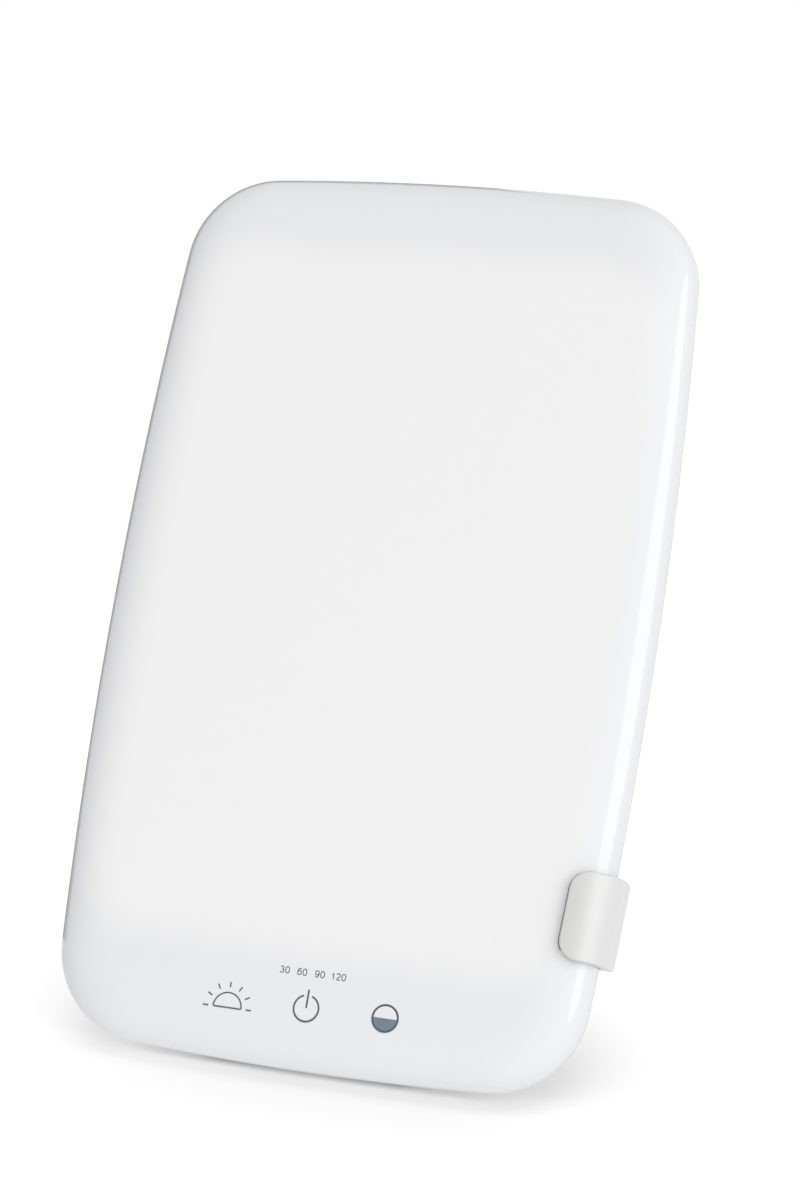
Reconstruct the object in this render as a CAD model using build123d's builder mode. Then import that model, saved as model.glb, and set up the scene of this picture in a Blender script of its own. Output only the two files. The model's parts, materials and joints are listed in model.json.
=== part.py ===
# Light therapy lamp: a slim edge-lit panel that leans back on a clip-on stand.
# Millimetres. +Z is up, the lit front looks along -Y and leans back, +X is to the viewer's right.
# Most pieces lie parallel to the front, so they are drawn on layers of one leaning plane:
# x to the right, y up the lamp, and depth counted from the front face towards the back.
# A size called a rise is measured up the lamp from its bottom end.

import os
from math import acos, cos, degrees, radians, sin, sqrt, tan

from build123d import *

# ---- lamp body ----
lamp_width = 200.0
lamp_height = 321.0
lamp_thickness = 18.6
lean = 29.8  # degrees from upright
corner_radius = 33.0
side_bow = 4.2  # how far each long side bows out between its corners
end_bow = 1.8  # the same at the top and bottom ends
front_round = 13.0  # radius of the front edge
rear_round = 5.0  # radius of the back edge
cover_wall = 2.0
seam_depth = 13.3
seam_gap = 0.3

# ---- rear cover ----
rib_inset = 2.7  # outer face of the rib that centres the two covers
rib_thickness = 1.2
rib_overlap = 3.2  # how far the rib reaches in front of the seam
boss_inset = 8.5
boss_radius = 3.2
boss_root_depth = 3.0
boss_meet_lift = 1.0  # the bosses meet this much in front of the seam
boss_gap = 0.2  # between the front and rear bosses
upper_boss_drop = 90.5  # from the lamp's top end down to the upper side bosses
lower_boss_gap = 21.6  # from the clip up to the lower side bosses
top_boss_angle = 60.0
bottom_boss_angle = 30.0

# ---- cover screws ----
screw_length = 10.0
screw_shank_radius = 1.25
screw_head_radius = 2.4
screw_head_height = 1.8
screw_hole_fit = 0.05
screw_pass_fit = 0.25
screw_head_fit = 0.4
screw_head_sink = 1.0  # from the back face down to the head
cross_length = 2.8
cross_width = 0.6
cross_depth = 1.0

# ---- optical stack ----
light_side_margin = 19.0  # from the lamp's edge to the lit area
light_top_margin = 26.5
light_bottom_margin = 52.5
diffuser_thickness = 1.0
film_thickness = 0.4
film_inset = 1.8
guide_thickness = 3.0
reflector_thickness = 0.3
pan_thickness = 1.0
pan_front_gap = 0.1
frame_wall = 2.2
frame_fit = 0.2
frame_lip = 1.5
frame_corner = 5.0
pan_post_radius = 3.0
pan_post_hollow = 1.6
pan_post_gap = 0.1
pan_post_side_inset = 19.0  # from the lit area's edge
pan_post_top_inset = 24.0
pan_post_bottom_inset = 73.0
pan_post_rows = 3

# ---- light bars ----
led_gap = 0.3
led_depth = 0.8
led_length = 3.0
led_height = 2.2
led_pitch = 10.0
led_board_thickness = 1.0
led_board_margin = 1.0

# ---- touch board, behind the icons ----
icon_rise = 20.8
icon_x = (-27.0, 1.1, 29.6)
timer_x = 1.05
timer_rise = 32.5
timer_pitch = 6.4
timer_count = 4
electrode_radius = 6.5
electrode_fit = 0.6
shield_thickness = 2.0
shield_width = 78.0
shield_low_rise = 14.0
shield_high_rise = 35.9
window_width = 3.6
window_height = 2.6
touch_board_thickness = 1.0
touch_board_margin = 1.5
touch_board_corner = 2.0
indicator_length = 2.0
indicator_width = 1.25
indicator_thickness = 0.8
touch_chip_side = 5.0
touch_chip_thickness = 1.1
touch_chip_x = -15.0

# ---- driver board, in the bottom of the rear cover ----
driver_x = -2.0
driver_rise = 27.5
driver_width = 92.0
driver_height = 34.0
driver_thickness = 1.6
driver_depth = 10.4  # its front face
driver_screw_inset = 3.0
driver_screw_length = 5.4
driver_post_radius = 2.6
inductor_side = 9.6
inductor_height = 3.8
inductor_corner = 2.0
inductor_chamfer = 0.4
inductor_spot = (-26.0, -7.0)  # from the board's centre, as the other spots are
capacitor_radius = 3.15
capacitor_height = 4.0
capacitor_spots = ((-13.0, -9.0), (30.0, -7.0))
chip_height = 1.6
chip_spots = ((8.0, -8.0), (-18.0, 9.0), (-29.0, 8.0))
chip_sizes = ((5.0, 4.0), (6.5, 6.0), (5.0, 3.5))
plug_housing_width = 6.0
plug_housing_height = 6.0
plug_housing_thickness = 4.0
plug_housing_up = 5.0  # above the driver board's middle
ribbon_housing_width = 10.0
ribbon_housing_height = 4.0
ribbon_housing_thickness = 1.5
ribbon_width = 8.0
ribbon_thickness = 0.3
ribbon_x = 14.0
ribbon_loop_rise = 41.9
ribbon_upper_up = 0.5
ribbon_lower_up = 4.0

# ---- power inlet ----
jack_x = -62.0
jack_rise = 24.5
jack_side = 10.0
jack_front_depth = 5.5
jack_bore_radius = 3.2
jack_bore_depth = 9.5
jack_nose_radius = 4.0
jack_nose_fit = 0.2
jack_nose_sink = 0.2
jack_pin_radius = 1.0
jack_pin_length = 8.6
lead_diameter = 1.0
lead_spread = 4.0
lead_depth = 7.0
lead_landing = 5.0  # from the driver board's edge to where the inlet's leads are soldered
bar_lead_drop = 10.0  # straight down from the light bar
bar_lead_step = (11.0, 5.0, 2.0)  # then inwards, down and towards the back
bar_lead_entry = 11.0  # straight run into the plug housing

# ---- rubber feet under the lamp ----
base_foot_spacing = 46.0
base_foot_length = 26.0
base_foot_width = 3.2
base_foot_setback = 1.1  # from the lowest line of the covers back to the feet's front edge
belly_clearance = 0.3  # between the lowest line of the covers and the table

# ---- stand: clip, arm and back plate in one moulding ----
clip_high_rise = 78.9
clip_low_rise = 48.6
clip_reach = 11.3  # from the lamp's edge inwards over the front
clip_corner = 6.5
clip_back_corner = 2.0
clip_wall = 2.8
clip_clearance = 0.4
clip_pad_thickness = 0.8
clip_pad_gap = 0.2
clip_pad_inset = 3.0
arm_inset = 2.2  # the arm is this much narrower than the clip, above and below
arm_end_x = -38.0
arm_corner = 3.0
stand_edge_round = 0.6
arm_recess = 1.2
arm_thickness = 2.8
arm_edge_gap = 0.4
plate_width = 76.0
plate_high_rise = 114.5
plate_corner = 8.0

# ---- leg and its hinge ----
hinge_rise = 104.5
hinge_pin_radius = 1.5
hinge_fit = 0.05
barrel_radius = 4.0
barrel_gap = 0.4
ear_thickness = 4.0
washer_thickness = 0.6
washer_radius = 3.4
washer_gap = 0.1
pin_head_radius = 2.6
pin_head_thickness = 1.0
leg_width = 60.0
leg_length = 95.0
leg_thickness = 5.0
leg_pocket_margin = 7.0
leg_pocket_depth = 1.6
leg_pocket_corner = 9.0
heel_length = 6.5
heel_width = 40.0
heel_gap = 0.1
foot_radius = 4.0
foot_grip = 9.0
foot_side = 1.5
leg_tip_gap = 1.0

# ---- places that follow from the sizes ----
core_x = lamp_width / 2 - corner_radius
core_y = lamp_height / 2 - corner_radius
core_corner_x = core_x - side_bow
core_corner_y = core_y - end_bow
bottom = -lamp_height / 2

icon_y = bottom + icon_rise
timer_y = bottom + timer_rise
driver_y = bottom + driver_rise
jack_y = bottom + jack_rise
clip_top = bottom + clip_high_rise
clip_bottom = bottom + clip_low_rise
plate_top = bottom + plate_high_rise
hinge_y = bottom + hinge_rise

light_width = lamp_width - 2 * light_side_margin
light_height = lamp_height - light_top_margin - light_bottom_margin
light_centre = (light_bottom_margin - light_top_margin) / 2


def half_width(height):
    """Distance from the centre line to the lamp's edge, at a height on its straight part."""
    return lamp_width / 2 - side_bow * (height / core_corner_y) ** 2


lean_sin = sin(radians(lean))
lean_cos = cos(radians(lean))
front_reach = (front_round - lamp_height / 2) * lean_sin + front_round * lean_cos - front_round
rear_reach = (lamp_height / 2 - rear_round) * lean_sin + (lamp_thickness - rear_round) * lean_cos
rear_reach = rear_reach + rear_round
belly_drop = (lamp_height / 2 - rear_round) * lean_cos + (lamp_thickness - rear_round) * lean_sin
belly_drop = belly_drop + rear_round
clip_proud = half_width(clip_top) + clip_clearance + clip_wall - lamp_width / 2

panel_x = -clip_proud / 2
panel_y = -(front_reach + rear_reach) / 2
panel_z = belly_drop + belly_clearance
panel = Plane(origin=(panel_x, panel_y, panel_z), x_dir=(1, 0, 0), z_dir=(0, -lean_cos, lean_sin))
facing = Axis(panel.origin, panel.z_dir)


def layer(depth):
    """The plane parallel to the front, at a depth behind it."""
    return panel.offset(-depth)


def place(x, y, depth):
    """A point of the lamp as a point in space."""
    return panel.from_local_coords((x, y, -depth))


diffuser_depth = cover_wall
film_depth = diffuser_depth + diffuser_thickness
guide_depth = film_depth + 2 * film_thickness
reflector_depth = guide_depth + guide_thickness
pan_depth = reflector_depth + reflector_thickness
pan_back = pan_depth + pan_thickness
floor_depth = lamp_thickness - cover_wall

led_face_x = light_width / 2 + led_gap
led_board_x = led_face_x + led_depth
flange_x = led_board_x + led_board_thickness
pan_edge_x = flange_x + pan_thickness
frame_inner_x = pan_edge_x + frame_fit
frame_inner_y = light_height / 2 + frame_fit

head_seat_depth = lamp_thickness - screw_head_sink - screw_head_height
boss_meet_depth = seam_depth - boss_meet_lift
side_boss_upper = lamp_height / 2 - upper_boss_drop
side_boss_lower = clip_top + lower_boss_gap
corner_reach = corner_radius - boss_inset
boss_places = [
    (side * x, y)
    for side in (-1, 1)
    for x, y in (
        (half_width(side_boss_upper) - boss_inset, side_boss_upper),
        (half_width(side_boss_lower) - boss_inset, side_boss_lower),
        (
            core_corner_x + corner_reach * cos(radians(top_boss_angle)),
            core_corner_y + corner_reach * sin(radians(top_boss_angle)),
        ),
        (
            core_corner_x + corner_reach * cos(radians(bottom_boss_angle)),
            -core_corner_y - corner_reach * sin(radians(bottom_boss_angle)),
        ),
    )
]
pan_post_x = light_width / 2 - pan_post_side_inset
pan_post_low = light_centre - light_height / 2 + pan_post_bottom_inset
pan_post_pitch = (light_height - pan_post_top_inset - pan_post_bottom_inset) / (pan_post_rows - 1)
pan_post_places = [
    (side * pan_post_x, pan_post_low + row * pan_post_pitch)
    for side in (-1, 1)
    for row in range(pan_post_rows)
]

touch_board_depth = cover_wall + shield_thickness
touch_board_back = touch_board_depth + touch_board_thickness
shield_middle = bottom + (shield_low_rise + shield_high_rise) / 2
shield_height = shield_high_rise - shield_low_rise
timer_places = [(timer_x + (i - (timer_count - 1) / 2) * timer_pitch, timer_y) for i in range(timer_count)]
icon_places = [(x, icon_y) for x in icon_x]

driver_back = driver_depth + driver_thickness
driver_screw_places = [
    (
        driver_x + side * (driver_width / 2 - driver_screw_inset),
        driver_y + end * (driver_height / 2 - driver_screw_inset),
    )
    for side in (-1, 1)
    for end in (-1, 1)
]
plug_housing_x = driver_width / 2 - plug_housing_width / 2
plug_housing_y = driver_y + plug_housing_up
ribbon_upper_y = driver_y + ribbon_upper_up
ribbon_lower_y = driver_y + ribbon_lower_up

arm_top = clip_top - arm_inset
arm_bottom = clip_bottom + arm_inset
arm_middle = (arm_top + arm_bottom) / 2
arm_front = lamp_thickness - arm_recess + clip_clearance
plate_front = lamp_thickness + clip_clearance
plate_back = plate_front + arm_thickness
ear_inner_x = leg_width / 2 + washer_thickness + 2 * washer_gap
hinge_depth = plate_back + barrel_gap + barrel_radius
hinge = place(0, hinge_y, hinge_depth)
leg_swing = degrees(acos((hinge.Z - foot_radius) / leg_length))  # from hanging straight down
leg_fold = leg_swing + lean  # from lying flat on the back


def outline(grow=0.0):
    """The lamp's plan outline: a core with bowed sides, rounded out to the edge."""
    with BuildSketch() as plan:
        with BuildLine():
            ThreePointArc((core_corner_x, -core_corner_y), (core_x, 0), (core_corner_x, core_corner_y))
            ThreePointArc((core_corner_x, core_corner_y), (0, core_y), (-core_corner_x, core_corner_y))
            ThreePointArc((-core_corner_x, core_corner_y), (-core_x, 0), (-core_corner_x, -core_corner_y))
            ThreePointArc((-core_corner_x, -core_corner_y), (0, -core_y), (core_corner_x, -core_corner_y))
        make_face()
        offset(amount=corner_radius + grow, kind=Kind.ARC)
    return plan.sketch


def envelope(grow=0.0, square_back=False):
    """The whole lamp as one rounded slab, grown on all sides."""
    with BuildPart() as slab:
        with BuildSketch(layer(-grow)):
            add(outline(grow))
        extrude(amount=-(lamp_thickness + 2 * grow))
        fillet(slab.faces().sort_by(facing)[-1].edges(), front_round + grow)
        if not square_back:
            fillet(slab.faces().sort_by(facing)[0].edges(), rear_round + grow)
    return slab.part


def tube_along(points, diameter):
    """A round lead through the points, with an arc at every corner as large as its runs allow."""
    corners = [Vector(*p) for p in points]
    radii = []
    for before, here, after in zip(corners, corners[1:], corners[2:]):
        turn = radians((here - before).get_angle(after - here))
        shorter = min((here - before).length, (after - here).length)
        radii.append(0.45 * shorter / tan(turn / 2))
    with BuildPart() as lead:
        with BuildLine(panel) as route:
            FilletPolyline(*points, radius=radii)
        with BuildSketch(Plane(origin=route.line @ 0, z_dir=route.line % 0)):
            Circle(diameter / 2)
        sweep()
    print("lead radii", [round(radius, 1) for radius in radii])
    return lead.part


whole_lamp = envelope()
lamp_cavity = envelope(-cover_wall)

# ================= covers =================

with BuildPart() as front_cover:
    add(whole_lamp)
    split(bisect_by=layer(seam_depth), keep=Keep.TOP)
    add(lamp_cavity, mode=Mode.SUBTRACT)
    with BuildSketch(layer(boss_root_depth)):
        with Locations(boss_places):
            Circle(boss_radius)
    extrude(amount=-(boss_meet_depth - boss_gap - boss_root_depth))
    with BuildSketch(layer(head_seat_depth - screw_length - cross_depth)):
        with Locations(boss_places):
            Circle(screw_shank_radius + screw_hole_fit)
    extrude(amount=-lamp_thickness, mode=Mode.SUBTRACT)

with BuildPart() as rear_cover:
    add(whole_lamp)
    split(bisect_by=layer(seam_depth + seam_gap), keep=Keep.BOTTOM)
    add(lamp_cavity, mode=Mode.SUBTRACT)
    with BuildSketch(layer(seam_depth - rib_overlap)):
        add(outline(-rib_inset))
        add(outline(-rib_inset - rib_thickness), mode=Mode.SUBTRACT)
    extrude(amount=-(floor_depth - seam_depth + rib_overlap))
    with BuildSketch(layer(boss_meet_depth)):
        with Locations(boss_places):
            Circle(boss_radius)
    extrude(amount=-(floor_depth - boss_meet_depth))
    with BuildSketch(layer(pan_back + pan_post_gap)):
        with Locations(pan_post_places):
            Circle(pan_post_radius)
            Circle(pan_post_hollow, mode=Mode.SUBTRACT)
    extrude(amount=-(floor_depth - pan_back - pan_post_gap))
    with BuildSketch(layer(driver_back)):
        with Locations(driver_screw_places):
            Circle(driver_post_radius)
    extrude(amount=-(floor_depth - driver_back))
    # thicker floor behind the recess for the stand's arm
    with BuildSketch(layer(floor_depth - arm_recess)):
        add(outline(-cover_wall))
        with Locations((lamp_width / 2 + arm_end_x - cover_wall, arm_middle)):
            Rectangle(lamp_width, arm_top - arm_bottom + 2 * (arm_edge_gap + cover_wall), mode=Mode.INTERSECT)
    extrude(amount=-arm_recess)
    with BuildSketch(layer(lamp_thickness - arm_recess)):
        with Locations((lamp_width / 2 + arm_end_x - arm_edge_gap, arm_middle)):
            Rectangle(lamp_width, arm_top - arm_bottom + 2 * arm_edge_gap)
    extrude(amount=-2 * arm_recess, mode=Mode.SUBTRACT)
    with BuildSketch(layer(lamp_thickness)):
        with Locations(boss_places):
            Circle(screw_head_radius + screw_head_fit)
    extrude(amount=screw_head_sink + screw_head_height, mode=Mode.SUBTRACT)
    with BuildSketch(layer(lamp_thickness)):
        with Locations(boss_places):
            Circle(screw_shank_radius + screw_pass_fit)
    extrude(amount=lamp_thickness, mode=Mode.SUBTRACT)
    with BuildSketch(layer(driver_back)):
        with Locations(driver_screw_places):
            Circle(screw_shank_radius + screw_hole_fit)
    extrude(amount=-(floor_depth - driver_back), mode=Mode.SUBTRACT)
    with BuildSketch(layer(floor_depth)):
        with Locations((jack_x, jack_y)):
            Circle(jack_nose_radius + jack_nose_fit)
    extrude(amount=-cover_wall, mode=Mode.SUBTRACT)


def screws(places, seat, head_side, length):
    """Pan-head screws whose heads rest on the seat depth; head_side is -1 at the back, 1 in front."""
    with BuildPart() as group:
        with BuildSketch(layer(seat)):
            with Locations(places):
                Circle(screw_head_radius)
        extrude(amount=head_side * screw_head_height)
        with BuildSketch(layer(seat)):
            with Locations(places):
                Circle(screw_shank_radius)
        extrude(amount=-head_side * length)
        with BuildSketch(layer(seat - head_side * screw_head_height)):
            with Locations(places):
                Rectangle(cross_length, cross_width)
                Rectangle(cross_width, cross_length)
        extrude(amount=-head_side * cross_depth, mode=Mode.SUBTRACT)
    return group


cover_screws = screws(boss_places, head_seat_depth, -1, screw_length)
driver_screws = screws(driver_screw_places, driver_depth, 1, driver_screw_length)

# ================= optical stack =================


def sheet(depth, thickness, inset=0.0):
    """A flat rectangular sheet of the optical stack."""
    with BuildPart() as flat:
        with BuildSketch(layer(depth)):
            with Locations((0, light_centre)):
                Rectangle(light_width - 2 * inset, light_height - 2 * inset)
        extrude(amount=-thickness)
    return flat


diffuser_plate = sheet(diffuser_depth, diffuser_thickness)
prism_film = sheet(film_depth, film_thickness, film_inset)
diffuser_film = sheet(film_depth + film_thickness, film_thickness, film_inset)
light_guide = sheet(guide_depth, guide_thickness)
reflector_film = sheet(reflector_depth, reflector_thickness)

with BuildPart() as back_pan:
    with BuildSketch(layer(guide_depth + pan_front_gap)):
        with Locations((0, light_centre)):
            Rectangle(2 * pan_edge_x, light_height)
    extrude(amount=-(pan_back - guide_depth - pan_front_gap))
    with BuildSketch(layer(guide_depth + pan_front_gap)):
        with Locations((0, light_centre)):
            Rectangle(2 * flange_x, light_height)
    extrude(amount=-(pan_depth - guide_depth - pan_front_gap), mode=Mode.SUBTRACT)

with BuildPart() as mid_frame:
    with BuildSketch(layer(film_depth)):
        with Locations((0, light_centre)):
            RectangleRounded(2 * (frame_inner_x + frame_wall), 2 * (frame_inner_y + frame_wall), frame_corner)
    extrude(amount=-(pan_back - film_depth))
    with BuildSketch(layer(film_depth)):
        with Locations((0, light_centre)):
            Rectangle(light_width - 2 * frame_lip, light_height - 2 * frame_lip)
    extrude(amount=-(guide_depth - film_depth), mode=Mode.SUBTRACT)
    with BuildSketch(layer(guide_depth)):
        with Locations((0, light_centre)):
            Rectangle(2 * frame_inner_x, 2 * frame_inner_y)
    extrude(amount=-(pan_back - guide_depth), mode=Mode.SUBTRACT)
    # notches in the bottom bar for the light bars' leads
    with BuildSketch(layer(guide_depth)):
        with Locations(*[(side * (led_board_x + led_board_thickness / 2), light_centre - frame_inner_y)
                         for side in (-1, 1)]):
            Rectangle(3 * lead_diameter, 3 * frame_wall)
    extrude(amount=-(pan_back - guide_depth), mode=Mode.SUBTRACT)

led_board_height = light_height - 2 * led_board_margin
led_count = int(led_board_height / led_pitch)


def led_board(side):
    """The board of one light bar, on the pan's flange."""
    with BuildPart() as board:
        with BuildSketch(layer(guide_depth + pan_front_gap)):
            with Locations((side * (led_board_x + led_board_thickness / 2), light_centre)):
                Rectangle(led_board_thickness, led_board_height)
        extrude(amount=-guide_thickness)
    return board


def leds(side):
    """The row of LEDs on one light bar, facing the edge of the light guide."""
    with BuildPart() as row:
        with BuildSketch(layer(guide_depth + (guide_thickness - led_height) / 2)):
            with Locations((side * (led_face_x + led_depth / 2), light_centre)):
                with GridLocations(led_pitch, led_pitch, 1, led_count):
                    Rectangle(led_depth, led_length)
        extrude(amount=-led_height)
    return row


led_board_left = led_board(-1)
led_board_right = led_board(1)
leds_left = leds(-1)
leds_right = leds(1)

# ================= touch board =================

with BuildPart() as indicator_shield:
    with BuildSketch(layer(cover_wall)):
        with Locations((timer_x, shield_middle)):
            Rectangle(shield_width, shield_height)
        with Locations(icon_places):
            Circle(electrode_radius + electrode_fit, mode=Mode.SUBTRACT)
        with Locations(timer_places):
            Rectangle(window_width, window_height, mode=Mode.SUBTRACT)
    extrude(amount=-shield_thickness)

with BuildPart() as touch_electrodes:
    with BuildSketch(layer(cover_wall)):
        with Locations(icon_places):
            Circle(electrode_radius)
    extrude(amount=-shield_thickness)

with BuildPart() as touch_board:
    with BuildSketch(layer(touch_board_depth)):
        with Locations((timer_x, shield_middle)):
            RectangleRounded(shield_width + 2 * touch_board_margin, shield_height + 2 * touch_board_margin,
                             touch_board_corner)
    extrude(amount=-touch_board_thickness)

with BuildPart() as indicator_leds:
    with BuildSketch(layer(touch_board_depth)):
        with Locations(timer_places):
            Rectangle(indicator_length, indicator_width)
    extrude(amount=indicator_thickness)

with BuildPart() as touch_chip:
    with BuildSketch(layer(touch_board_back)):
        with Locations((touch_chip_x, shield_middle)):
            Rectangle(touch_chip_side, touch_chip_side)
    extrude(amount=-touch_chip_thickness)

# ================= driver board =================


def on_driver(spot):
    """A spot on the driver board, counted from the board's centre, on the lamp."""
    return driver_x + spot[0], driver_y + spot[1]


with BuildPart() as driver_board:
    with BuildSketch(layer(driver_depth)):
        with Locations((driver_x, driver_y)):
            RectangleRounded(driver_width, driver_height, driver_screw_inset / 2)
        with Locations(driver_screw_places):
            Circle(screw_shank_radius + screw_pass_fit, mode=Mode.SUBTRACT)
    extrude(amount=-driver_thickness)

with BuildPart() as driver_inductor:
    with BuildSketch(layer(driver_depth)):
        with Locations(on_driver(inductor_spot)):
            RectangleRounded(inductor_side, inductor_side, inductor_corner)
    extrude(amount=inductor_height)
    chamfer(driver_inductor.faces().sort_by(facing)[-1].edges(), inductor_chamfer)

with BuildPart() as driver_capacitors:
    with BuildSketch(layer(driver_depth)):
        with Locations([on_driver(spot) for spot in capacitor_spots]):
            Circle(capacitor_radius)
    extrude(amount=capacitor_height)

with BuildPart() as driver_chips:
    with BuildSketch(layer(driver_depth)):
        for spot, (width, height) in zip(chip_spots, chip_sizes):
            with Locations(on_driver(spot)):
                Rectangle(width, height)
    extrude(amount=chip_height)

with BuildPart() as board_connectors:
    with BuildSketch(layer(driver_depth)):
        with Locations(*[(driver_x + side * plug_housing_x, plug_housing_y) for side in (-1, 1)]):
            Rectangle(plug_housing_width, plug_housing_height)
    extrude(amount=plug_housing_thickness)
    with BuildSketch(layer(driver_depth)):
        with Locations((ribbon_x, ribbon_lower_y)):
            Rectangle(ribbon_housing_width, ribbon_housing_height)
    extrude(amount=ribbon_housing_thickness)
    with BuildSketch(layer(touch_board_back)):
        with Locations((ribbon_x, ribbon_upper_y)):
            Rectangle(ribbon_housing_width, ribbon_housing_height)
    extrude(amount=-ribbon_housing_thickness)

with BuildPart() as dc_jack:
    with BuildSketch(layer(jack_front_depth)):
        with Locations((jack_x, jack_y)):
            Rectangle(jack_side, jack_side)
    extrude(amount=-(floor_depth - jack_front_depth))
    with BuildSketch(layer(floor_depth)):
        with Locations((jack_x, jack_y)):
            Circle(jack_nose_radius)
    extrude(amount=-(cover_wall - jack_nose_sink))
    with BuildSketch(layer(lamp_thickness - jack_nose_sink)):
        with Locations((jack_x, jack_y)):
            Circle(jack_bore_radius)
    extrude(amount=jack_bore_depth, mode=Mode.SUBTRACT)

with BuildPart() as dc_jack_pin:
    with BuildSketch(layer(lamp_thickness - jack_nose_sink - jack_bore_depth)):
        with Locations((jack_x, jack_y)):
            Circle(jack_pin_radius)
    extrude(amount=-jack_pin_length)
    fillet(dc_jack_pin.faces().sort_by(facing)[0].edges(), jack_pin_radius / 2)

# ================= inner wiring =================

housing_edge = driver_width / 2
bar_lead_depth = guide_depth + pan_front_gap + guide_thickness / 2
bar_lead_x = led_board_x + led_board_thickness / 2
bar_lead_top = light_centre - led_board_height / 2


def bar_lead(side):
    """The lead from the driver board to the lower end of one light bar."""
    entry_x = driver_x + side * housing_edge
    entry_depth = driver_depth - plug_housing_thickness / 2
    step_x, step_y, step_depth = bar_lead_step
    turn_y = bar_lead_top - bar_lead_drop
    route = [
        (side * bar_lead_x, bar_lead_top, -bar_lead_depth),
        (side * bar_lead_x, turn_y, -bar_lead_depth),
        (side * (bar_lead_x - step_x), turn_y - step_y, -(bar_lead_depth + step_depth)),
        (entry_x + side * bar_lead_entry, plug_housing_y, -entry_depth),
        (entry_x, plug_housing_y, -entry_depth),
    ]
    return tube_along(route, lead_diameter)


led_lead_left = bar_lead(-1)
led_lead_right = bar_lead(1)

jack_edge_x = jack_x + jack_side / 2
lead_drop_x = driver_x - driver_width / 2 + lead_landing
jack_leads = [
    tube_along(
        [
            (jack_edge_x, jack_y + offset_y, -lead_depth),
            (lead_drop_x, jack_y + offset_y, -lead_depth),
            (lead_drop_x, jack_y + offset_y, -driver_depth),
        ],
        lead_diameter,
    )
    for offset_y in (-lead_spread / 2, lead_spread / 2)
]

ribbon_front = touch_board_back + ribbon_housing_thickness / 2
ribbon_back = driver_depth - ribbon_housing_thickness / 2
ribbon_bend = 0.45 * (ribbon_back - ribbon_front)
with BuildPart() as touch_cable:
    with BuildLine(panel) as ribbon_route:
        FilletPolyline(
            (ribbon_x, ribbon_upper_y + ribbon_housing_height / 2, -ribbon_front),
            (ribbon_x, bottom + ribbon_loop_rise, -ribbon_front),
            (ribbon_x, bottom + ribbon_loop_rise, -ribbon_back),
            (ribbon_x, ribbon_lower_y + ribbon_housing_height / 2, -ribbon_back),
            radius=ribbon_bend,
        )
    with BuildSketch(Plane(origin=ribbon_route.line @ 0, x_dir=(1, 0, 0), z_dir=ribbon_route.line % 0)):
        Rectangle(ribbon_width, ribbon_thickness)
    sweep()

# ================= feet under the lamp =================

belly = place(0, rear_round - lamp_height / 2, lamp_thickness - rear_round)  # centre of the back edge's round
bow_rise = end_bow * (base_foot_spacing / 2 / core_corner_x) ** 2
round_rise = rear_round - sqrt(rear_round**2 - (base_foot_setback + base_foot_width) ** 2)
base_foot_y = belly.Y + base_foot_setback + base_foot_width / 2
with BuildPart() as base_feet:
    with BuildSketch(Plane.XY):
        with Locations((belly.X, base_foot_y)):
            with GridLocations(base_foot_spacing, base_foot_width, 2, 1):
                SlotOverall(base_foot_length, base_foot_width)
    extrude(amount=belly_clearance + bow_rise + round_rise)
    add(whole_lamp, mode=Mode.SUBTRACT)

# ================= stand =================

clip_middle = (clip_top + clip_bottom) / 2
ear_outer_x = ear_inner_x + ear_thickness

with BuildSketch() as clip_window:
    with BuildLine():
        Polyline(
            (half_width(clip_top) - clip_reach, clip_top),
            (half_width(clip_bottom) - clip_reach, clip_bottom),
            (lamp_width, clip_bottom),
            (lamp_width, clip_top),
            close=True,
        )
    make_face()
    fillet(clip_window.vertices().sort_by(Axis.X)[:2], clip_corner)

with BuildPart() as clip_pad:
    add(envelope(clip_pad_gap + clip_pad_thickness))
    with BuildSketch(layer(-lamp_thickness)):
        with Locations((half_width(clip_middle) - clip_reach / 2, clip_middle)):
            Rectangle(clip_reach - clip_pad_inset, clip_top - clip_bottom - 2 * clip_pad_inset)
    extrude(amount=-(lamp_thickness + front_round - clip_pad_inset), mode=Mode.INTERSECT)
    add(envelope(clip_pad_gap), mode=Mode.SUBTRACT)

arm_length = half_width(clip_middle) + clip_clearance - arm_end_x
with BuildPart() as stand_bracket:
    add(envelope(clip_clearance + clip_wall, square_back=True))
    with BuildSketch(layer(-lamp_thickness)):
        add(clip_window.sketch)
    extrude(amount=-3 * lamp_thickness, mode=Mode.INTERSECT)
    # round the clip's back corners, above and below the arm
    fillet(stand_bracket.faces().sort_by(facing)[0].edges().filter_by(Axis.X), clip_back_corner)
    # soften the clip's rim, but not where the arm grows out of its back
    rim = [
        edge
        for edge in stand_bracket.edges()
        if panel.to_local_coords(edge.center()).X > half_width(clip_middle) - clip_reach + stand_edge_round
        or panel.to_local_coords(edge.center()).Z > -stand_edge_round
    ]
    fillet(rim, stand_edge_round)
    add(envelope(clip_clearance), mode=Mode.SUBTRACT)
    with BuildSketch(layer(arm_front)):
        with Locations((arm_end_x + arm_length / 2, arm_middle)):
            RectangleRounded(arm_length, arm_top - arm_bottom, arm_corner)
    extrude(amount=-(plate_back - arm_front))
    with BuildSketch(layer(plate_front)):
        with Locations((0, (plate_top + arm_bottom) / 2)):
            RectangleRounded(plate_width, plate_top - arm_bottom, plate_corner)
    extrude(amount=-arm_thickness)
    # ears of the hinge
    for side in (-1, 1):
        with BuildSketch(Plane(origin=place(side * ear_inner_x, hinge_y, hinge_depth),
                               x_dir=panel.y_dir, z_dir=(side, 0, 0))):
            Circle(barrel_radius)
            with Locations((0, side * (hinge_depth - plate_back) / 2)):
                Rectangle(2 * barrel_radius, hinge_depth - plate_back)
            Circle(hinge_pin_radius + hinge_fit, mode=Mode.SUBTRACT)
        extrude(amount=ear_thickness)
    add(clip_pad.part, mode=Mode.SUBTRACT)

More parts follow.
